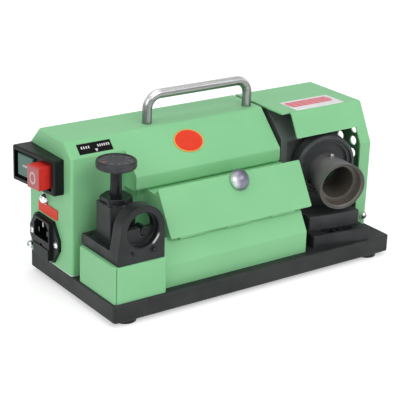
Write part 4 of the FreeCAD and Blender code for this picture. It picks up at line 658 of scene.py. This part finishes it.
# Dial. A turned disc of blacked steel pressed on the spindle, dished on top and engraved with a ring of
# marks, plain numbers and one red reference mark.
dial_black = black_oxide("dial black", dark=(0.040, 0.042, 0.046, 1),
                         light=(0.062, 0.065, 0.070, 1), rough=0.44)
dress(dial_black, "dial_knob")

dial_low, dial_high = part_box("dial_knob")
dial_axis = (dial_low + dial_high) / 2
dish_middle = Vector((dial_axis.x, dial_axis.y, dial_high.z - 0.0008))
scale_radius, number_radius = 0.0138, 0.0093
mark_step, number_step = 7.2, 36.0
engraved_grey = printed("engraved grey", first=(0.150, 0.155, 0.165, 1),
                        second=(0.205, 0.210, 0.220, 1), rough=0.5)
engraved_red = printed("engraved red", first=(0.36, 0.055, 0.075, 1),
                       second=(0.44, 0.080, 0.100, 1), rough=0.5)


def dial_mark(width, length, turn, distance):
    """One engraved line on the dish, pointing away from the axis."""
    line = sticker(width=length, height=width, thick=0.00012, corner=width * 0.3)
    out = Vector((math.cos(turn), math.sin(turn), 0)) * distance
    return settle(line, "dial_mark", dish_middle + out, (0, 0, turn))


lines = []
for number in range(50):
    length = 0.0030 if number % 5 == 0 else 0.0018
    line = dial_mark(width=0.00032, length=length, turn=math.radians(number * mark_step),
                     distance=scale_radius - length / 2)
    line.data.materials.append(engraved_grey)
    lines.append(line)
for number in range(10):
    turn = math.radians(number * number_step)
    bpy.ops.object.select_all(action="DESELECT")
    bpy.ops.object.text_add(location=(0, 0, 0))
    words = bpy.context.object
    words.data.body = str(number)
    words.data.size = 0.0042
    words.data.align_x = "CENTER"
    words.data.align_y = "CENTER"
    words.data.extrude = 0.00006
    words.data.resolution_u = 3
    bpy.ops.object.convert(target="MESH")
    digit = bpy.context.object
    digit.data.materials.clear()
    digit.data.materials.append(engraved_grey)
    out = Vector((math.cos(turn), math.sin(turn), 0)) * number_radius
    settle(digit, "dial_digit", dish_middle + out, (0, 0, turn - math.pi / 2))
    lines.append(digit)
join_up(lines, "dial_scale")
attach(lines[0], "dial")

red_mark = dial_mark(width=0.0024, length=0.0042, turn=math.radians(176.0), distance=0.0118)
red_mark.data.materials.append(engraved_red)
settle(red_mark, "dial_red_mark", (0, 0, 0))
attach(red_mark, "dial")


# Switch. A moulded black housing with a slanted hood is screwed to the left end; in it a green start
# button lies sunk and a red stop button stands proud, each with its plain sign.
def moulded(name, first, second, rough, edge):
    """Moulded plastic: even colour, a fine spark texture, shinier along the handled edges."""
    made, tree = new_finish(name)
    flow = noise(tree, 60.0, 3.0)
    spark = noise(tree, 2600.0, 2.0)
    wear_and_highlight = effect(tree, edge_wear_and_highlight, width=0.0008, breakup=350.0)["Mask"]
    colour = blended(tree, uneven(tree, flow), first, second)
    colour = blended(tree, sums(tree, "MULTIPLY", wear_and_highlight, 0.6), colour, edge)
    gloss = sums(tree, "ADD", uneven(tree, flow, rough - 0.04, rough + 0.05),
                 sums(tree, "MULTIPLY", wear_and_highlight, -0.08))
    shade(tree, {"Base Color": colour, "Roughness": gloss, "Specular IOR Level": 0.28}, spark,
          strength=0.05, depth=0.0001)
    return made


switch_black = moulded("switch black", first=(0.003, 0.0038, 0.0042, 1), second=(0.005, 0.0062, 0.0066, 1),
                       rough=0.38, edge=(0.04, 0.046, 0.046, 1))
dress(switch_black, "switch_housing", "switch_block")

switch_turn = math.radians(8.4)
switch_corner = at(-9.3, 78.5, 0)
sign_height = 0.1023


def button_plane(tree, along):
    """Across and up from the middle of a button's face, in metres, for drawing its sign."""
    middle = switch_corner + Vector((-math.sin(switch_turn), math.cos(switch_turn), 0)) * along
    near = vectors(tree, "SUBTRACT", spot(tree), (middle.x, middle.y, sign_height))[0]
    square = put(tree, "ShaderNodeVectorRotate", {"Vector": near, "Angle": -switch_turn},
                 rotation_type="Z_AXIS").outputs[0]
    return put(tree, "ShaderNodeSeparateXYZ", {0: square}).outputs


def push_button(name, first, second, worn, sign, along, front):
    """A glossy push button with its sign printed on the face that is pressed."""
    made, tree = new_finish(name)
    plane = button_plane(tree, along)
    flow = noise(tree, 120.0, 3.0)
    wear_and_highlight = effect(tree, edge_wear_and_highlight, width=0.0009, breakup=500.0)["Mask"]
    across, up = plane["Y"], plane["Z"]
    print_mask = sums(tree, "MULTIPLY", sign(tree, across, up),
                      reach(tree, plane["X"], front + 0.0014, front + 0.0009))
    colour = blended(tree, uneven(tree, flow), first, second)
    face = reach(tree, plane["X"], front + 0.0011, front + 0.0004)
    colour = blended(tree, sums(tree, "MULTIPLY", face, 0.60), colour, worn)
    colour = blended(tree, sums(tree, "MULTIPLY", wear_and_highlight, 0.30), colour, worn)
    colour = blended(tree, sums(tree, "MULTIPLY", print_mask, 0.70), colour, (0.72, 0.60, 0.60, 1))
    shade(tree, {"Base Color": colour, "Roughness": uneven(tree, flow, 0.30, 0.40),
                 "Specular IOR Level": 0.35, "Coat Weight": 0.05}, noise(tree, 1900.0, 2.0),
          strength=0.03, depth=0.0001)
    return made


def round_sign(tree, across, up):
    """A ring, the sign for off."""
    wide = sums(tree, "MULTIPLY", across, across)
    shrunk = sums(tree, "MULTIPLY", up, 0.72)
    high = sums(tree, "MULTIPLY", shrunk, shrunk)
    distance = sums(tree, "SQRT", sums(tree, "ADD", wide, high))
    off = sums(tree, "ABSOLUTE", sums(tree, "SUBTRACT", distance, 0.0032))
    return reach(tree, off, 0.00075, 0.0005)


def bar_sign(tree, across, up):
    """A short bar, the sign for on."""
    side = sums(tree, "ABSOLUTE", across)
    tall = sums(tree, "ABSOLUTE", up)
    return sums(tree, "MULTIPLY", reach(tree, side, 0.0035, 0.0031), reach(tree, tall, 0.0010, 0.0007))


stop_red = push_button("stop red", first=(0.66, 0.026, 0.020, 1), second=(0.72, 0.034, 0.026, 1),
                       worn=(0.29, 0.20, 0.21, 1), sign=round_sign, along=0.0135, front=-0.0110)
start_green = push_button("start green", first=(0.042, 0.125, 0.096, 1), second=(0.058, 0.155, 0.120, 1),
                          worn=(0.115, 0.210, 0.178, 1), sign=bar_sign, along=0.03925, front=0.0008)
dress(stop_red, "stop_button")
dress(start_green, "start_button")


# Mains inlet. A black moulded appliance inlet held in the left end by two chromed screws, with nickelled
# blades in its socket and a fuse drawer below; over it a small red plate and the domed earth nut.
inlet_black = moulded("inlet black", first=(0.0035, 0.0058, 0.0062, 1), second=(0.006, 0.0095, 0.0102, 1),
                      rough=0.44, edge=(0.03, 0.042, 0.042, 1))
dress(inlet_black, "inlet_body", "fuse_drawer", "brush_holders")

nickel, tree = new_finish("nickelled blades")
tarnish = noise(tree, 500.0, 4.0)
low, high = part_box("inlet_pins")
tall = high.z - low.z
# Painted light: the lower blades are painted dark as shade and the upper one light as a painted highlight.
upper = reach(tree, height_of(tree), low.z + 0.55 * tall, low.z + 0.70 * tall)
shaded = blended(tree, uneven(tree, tarnish), (0.045, 0.045, 0.043, 1), (0.085, 0.083, 0.078, 1))
highlit_blade = blended(tree, uneven(tree, tarnish), (0.40, 0.39, 0.37, 1), (0.52, 0.51, 0.48, 1))
colour = blended(tree, upper, shaded, highlit_blade)
shade(tree, {"Base Color": colour, "Metallic": 1.0, "Roughness": uneven(tree, tarnish, 0.18, 0.34)},
      noise(tree, 1600.0, 2.0), strength=0.04, depth=0.0001)
dress(nickel, "inlet_pins")

plate_red, tree = new_finish("plate red")
cloud = noise(tree, 330.0, 4.0)
wear_and_highlight = effect(tree, edge_wear_and_highlight, width=0.0006, breakup=600.0)["Mask"]
colour = blended(tree, uneven(tree, cloud), (0.74, 0.040, 0.016, 1), (0.80, 0.055, 0.022, 1))
colour = blended(tree, sums(tree, "MULTIPLY", wear_and_highlight, 0.5), colour, (0.80, 0.42, 0.34, 1))
shade(tree, {"Base Color": colour, "Roughness": uneven(tree, cloud, 0.40, 0.50), "Specular IOR Level": 0.25},
      noise(tree, 1400.0, 2.0), strength=0.04, depth=0.0001)
dress(plate_red, "rating_plate")


# Control board. A printed board under green resist that carries the speed control. It stands on pillars
# behind the inlet, out of sight.
board, tree = new_finish("board resist")
upright = put(tree, "ShaderNodeMapping", {"Vector": spot(tree), "Rotation": (0, math.pi / 2, 0)}).outputs[0]
feeds = {"Vector": upright, "Scale": 60.0, "Mortar Size": 0.03}
tracks = put(tree, "ShaderNodeTexBrick", feeds).outputs["Fac"]
cloud = noise(tree, 200.0, 3.0)
colour = blended(tree, uneven(tree, cloud), (0.015, 0.085, 0.035, 1), (0.022, 0.115, 0.050, 1))
colour = blended(tree, sums(tree, "MULTIPLY", tracks, 0.6), colour, (0.055, 0.19, 0.085, 1))
shade(tree, {"Base Color": colour, "Roughness": uneven(tree, cloud, 0.32, 0.45)}, tracks,
      strength=0.1, depth=0.0001)
dress(board, "control_board")


# Motor. A painted steel can with magnets inside, closed by cast end bells and strapped on two iron
# cradles; brushes bear on the commutator at the rear.
motor_enamel, tree = new_finish("motor enamel")
cloud = noise(tree, 45.0, 4.0)
wear_and_highlight = effect(tree, edge_wear_and_highlight, width=0.0009, breakup=300.0)["Mask"]
colour = blended(tree, uneven(tree, cloud), (0.030, 0.034, 0.040, 1), (0.048, 0.053, 0.060, 1))
colour = blended(tree, sums(tree, "MULTIPLY", wear_and_highlight, 0.6), colour, (0.24, 0.24, 0.24, 1))
shade(tree, {"Base Color": colour, "Roughness": uneven(tree, cloud, 0.34, 0.46)}, noise(tree, 600.0, 2.0),
      strength=0.06, depth=0.0003)
dress(motor_enamel, "motor_can")

cast_metal, tree = new_finish("cast aluminium")
skin = effect(tree, cast_skin, grain=1300.0)
wear_and_highlight = effect(tree, edge_wear_and_highlight, width=0.0008, breakup=420.0)["Mask"]
colour = blended(tree, uneven(tree, skin["Mottle"]), (0.42, 0.425, 0.43, 1), (0.54, 0.545, 0.55, 1))
colour = blended(tree, wear_and_highlight, colour, (0.70, 0.705, 0.71, 1))
shade(tree, {"Base Color": colour, "Metallic": 1.0, "Roughness": uneven(tree, skin["Mottle"], 0.46, 0.58)},
      skin["Height"], strength=0.18, depth=0.0002)
dress(cast_metal, "motor_front_bell", "motor_rear_bell", "grinding_wheel")

cradle_enamel = casting("cradle enamel", dark=(0.026, 0.028, 0.029, 1), light=(0.045, 0.047, 0.048, 1),
                        edge=(0.15, 0.15, 0.15, 1), grain=900.0, rough=0.52)
dress(cradle_enamel, "motor_cradles")
dress(oiled_black, "cradle_screws", "guard_screws", "swivel_lock_screw")

sintered, tree = new_finish("sintered magnet")
grit = noise(tree, 1900.0, 3.0)
cloud = noise(tree, 80.0, 3.0)
colour = blended(tree, uneven(tree, cloud), (0.018, 0.017, 0.017, 1), (0.034, 0.032, 0.031, 1))
shade(tree, {"Base Color": colour, "Roughness": uneven(tree, grit, 0.55, 0.75)}, grit,
      strength=0.2, depth=0.0001)
dress(sintered, "motor_magnets")


# Rotor. A ground steel shaft carries the varnished laminations, the copper commutator, a moulded fan and,
# outside the cover, the taper wheel with its bonded abrasive rim.
laminations, tree = new_finish("varnished laminations")
leaves = noise(tree, 2200.0, 2.0, (1.0, 0.03, 0.03))
varnish = noise(tree, 140.0, 4.0)
colour = blended(tree, reach(tree, leaves, 0.35, 0.65), (0.075, 0.062, 0.050, 1), (0.19, 0.175, 0.155, 1))
shade(tree, {"Base Color": colour, "Metallic": 0.6, "Roughness": uneven(tree, varnish, 0.28, 0.44)}, leaves,
      strength=0.15, depth=0.0001)
dress(laminations, "armature")

copper, tree = new_finish("worn copper")
bands = noise(tree, 1800.0, 2.0, (1.0, 0.04, 0.04))
cloud = noise(tree, 240.0, 4.0)
colour = blended(tree, reach(tree, bands, 0.35, 0.65), (0.50, 0.23, 0.12, 1), (0.70, 0.36, 0.21, 1))
shade(tree, {"Base Color": colour, "Metallic": 1.0, "Roughness": uneven(tree, cloud, 0.22, 0.38)}, bands,
      strength=0.08, depth=0.0001)
dress(copper, "commutator")

fan_grey = moulded("fan grey", first=(0.020, 0.020, 0.022, 1), second=(0.032, 0.032, 0.034, 1),
                   rough=0.5, edge=(0.08, 0.08, 0.08, 1))
dress(fan_grey, "cooling_fan")

bonded_grit, tree = new_finish("bonded grit")
grains = put(tree, "ShaderNodeTexVoronoi", {"Vector": spot(tree), "Scale": 2400.0}).outputs["Distance"]
cloud = noise(tree, 120.0, 4.0)
colour = blended(tree, reach(tree, grains, 0.1, 0.6), (0.34, 0.29, 0.22, 1), (0.13, 0.11, 0.085, 1))
colour = blended(tree, reach(tree, cloud, 0.45, 0.75, 0.0, 0.5), colour, (0.085, 0.08, 0.075, 1))
shade(tree, {"Base Color": colour, "Roughness": uneven(tree, cloud, 0.72, 0.88)}, grains,
      strength=0.5, depth=0.0002)
dress(bonded_grit, "abrasive_rim")


# Wheel guard. A black iron housing bolted to the slab round the wheel, between the main cover and
# the hood.
# Painted light: its enamel is painted much lighter than the other castings' black, as light on faces that
# lie in shade.
guard_enamel = casting("guard enamel", dark=(0.098, 0.117, 0.107, 1), light=(0.132, 0.152, 0.140, 1),
                       edge=(0.21, 0.225, 0.215, 1), grain=850.0, rough=0.46)
dress(guard_enamel, "wheel_guard")


# Grinding port. A swivel plate turns on a pin under the wheel's front and carries a cast holder,
# whose ring grips a turned steel sleeve that takes the drill's collet.
port_enamel = casting("port enamel", dark=(0.013, 0.0145, 0.0155, 1), light=(0.025, 0.0275, 0.029, 1),
                      edge=(0.085, 0.090, 0.093, 1), grain=1000.0, rough=0.44)
dress(port_enamel, "swivel_plate")
# Painted light: the holder's enamel is a lighter copy of the same black, and its edges carry a painted
# highlight along the rims.
holder_enamel = casting("holder enamel", dark=(0.032, 0.035, 0.037, 1), light=(0.054, 0.058, 0.0605, 1),
                        edge=(0.185, 0.195, 0.205, 1), grain=1000.0, rough=0.44)
dress(holder_enamel, "port_holder")

sleeve_mouth = at(238.44, 10.22, 72.0)
sleeve_way = Vector((-0.2615, -0.9626, -0.0715)).normalized()
sleeve_taper = 0.1517
turning_lines = 11000.0
sleeve_steel, tree = new_finish("sleeve steel")
near = vectors(tree, "SUBTRACT", spot(tree), sleeve_mouth)[0]
deep = vectors(tree, "DOT_PRODUCT", near, sleeve_way)["Value"]
turning = sums(tree, "SINE", sums(tree, "MULTIPLY", deep, turning_lines))
stain = noise(tree, 60.0, 5.0)
wear_and_highlight = effect(tree, edge_wear_and_highlight, width=0.0009, breakup=380.0)["Mask"]
lip = reach(tree, deep, -0.0010, -0.0003)
along = vectors(tree, "PROJECT", near, sleeve_way)[0]
apart = vectors(tree, "SUBTRACT", near, along)[0]
radius = vectors(tree, "LENGTH", apart)["Value"]
straight = sums(tree, "SUBTRACT", radius, sums(tree, "MULTIPLY", deep, sleeve_taper))
bored = reach(tree, straight, 0.0211, 0.0206)
colour = blended(tree, uneven(tree, stain), (0.20, 0.20, 0.198, 1), (0.265, 0.264, 0.260, 1))
# Painted shade: the bore is darker and browner down the hole.
colour = blended(tree, bored, colour, (0.165, 0.150, 0.132, 1))
colour = blended(tree, sums(tree, "MULTIPLY", lip, 0.85), colour, (0.075, 0.071, 0.066, 1))
outer_line = sums(tree, "MULTIPLY", lip, reach(tree, straight, 0.0203, 0.0208))
colour = blended(tree, outer_line, colour, (0.095, 0.094, 0.091, 1))
colour = blended(tree, sums(tree, "MULTIPLY", wear_and_highlight, 0.35), colour, (0.17, 0.168, 0.160, 1))
groove = sums(tree, "ADD", sums(tree, "MULTIPLY", turning, 0.35), noise(tree, 1500.0, 2.0))
shade(tree, {"Base Color": colour, "Metallic": 0.45, "Roughness": uneven(tree, stain, 0.42, 0.54)}, groove,
      strength=0.07, depth=0.0001)
dress(sleeve_steel, "port_sleeve")
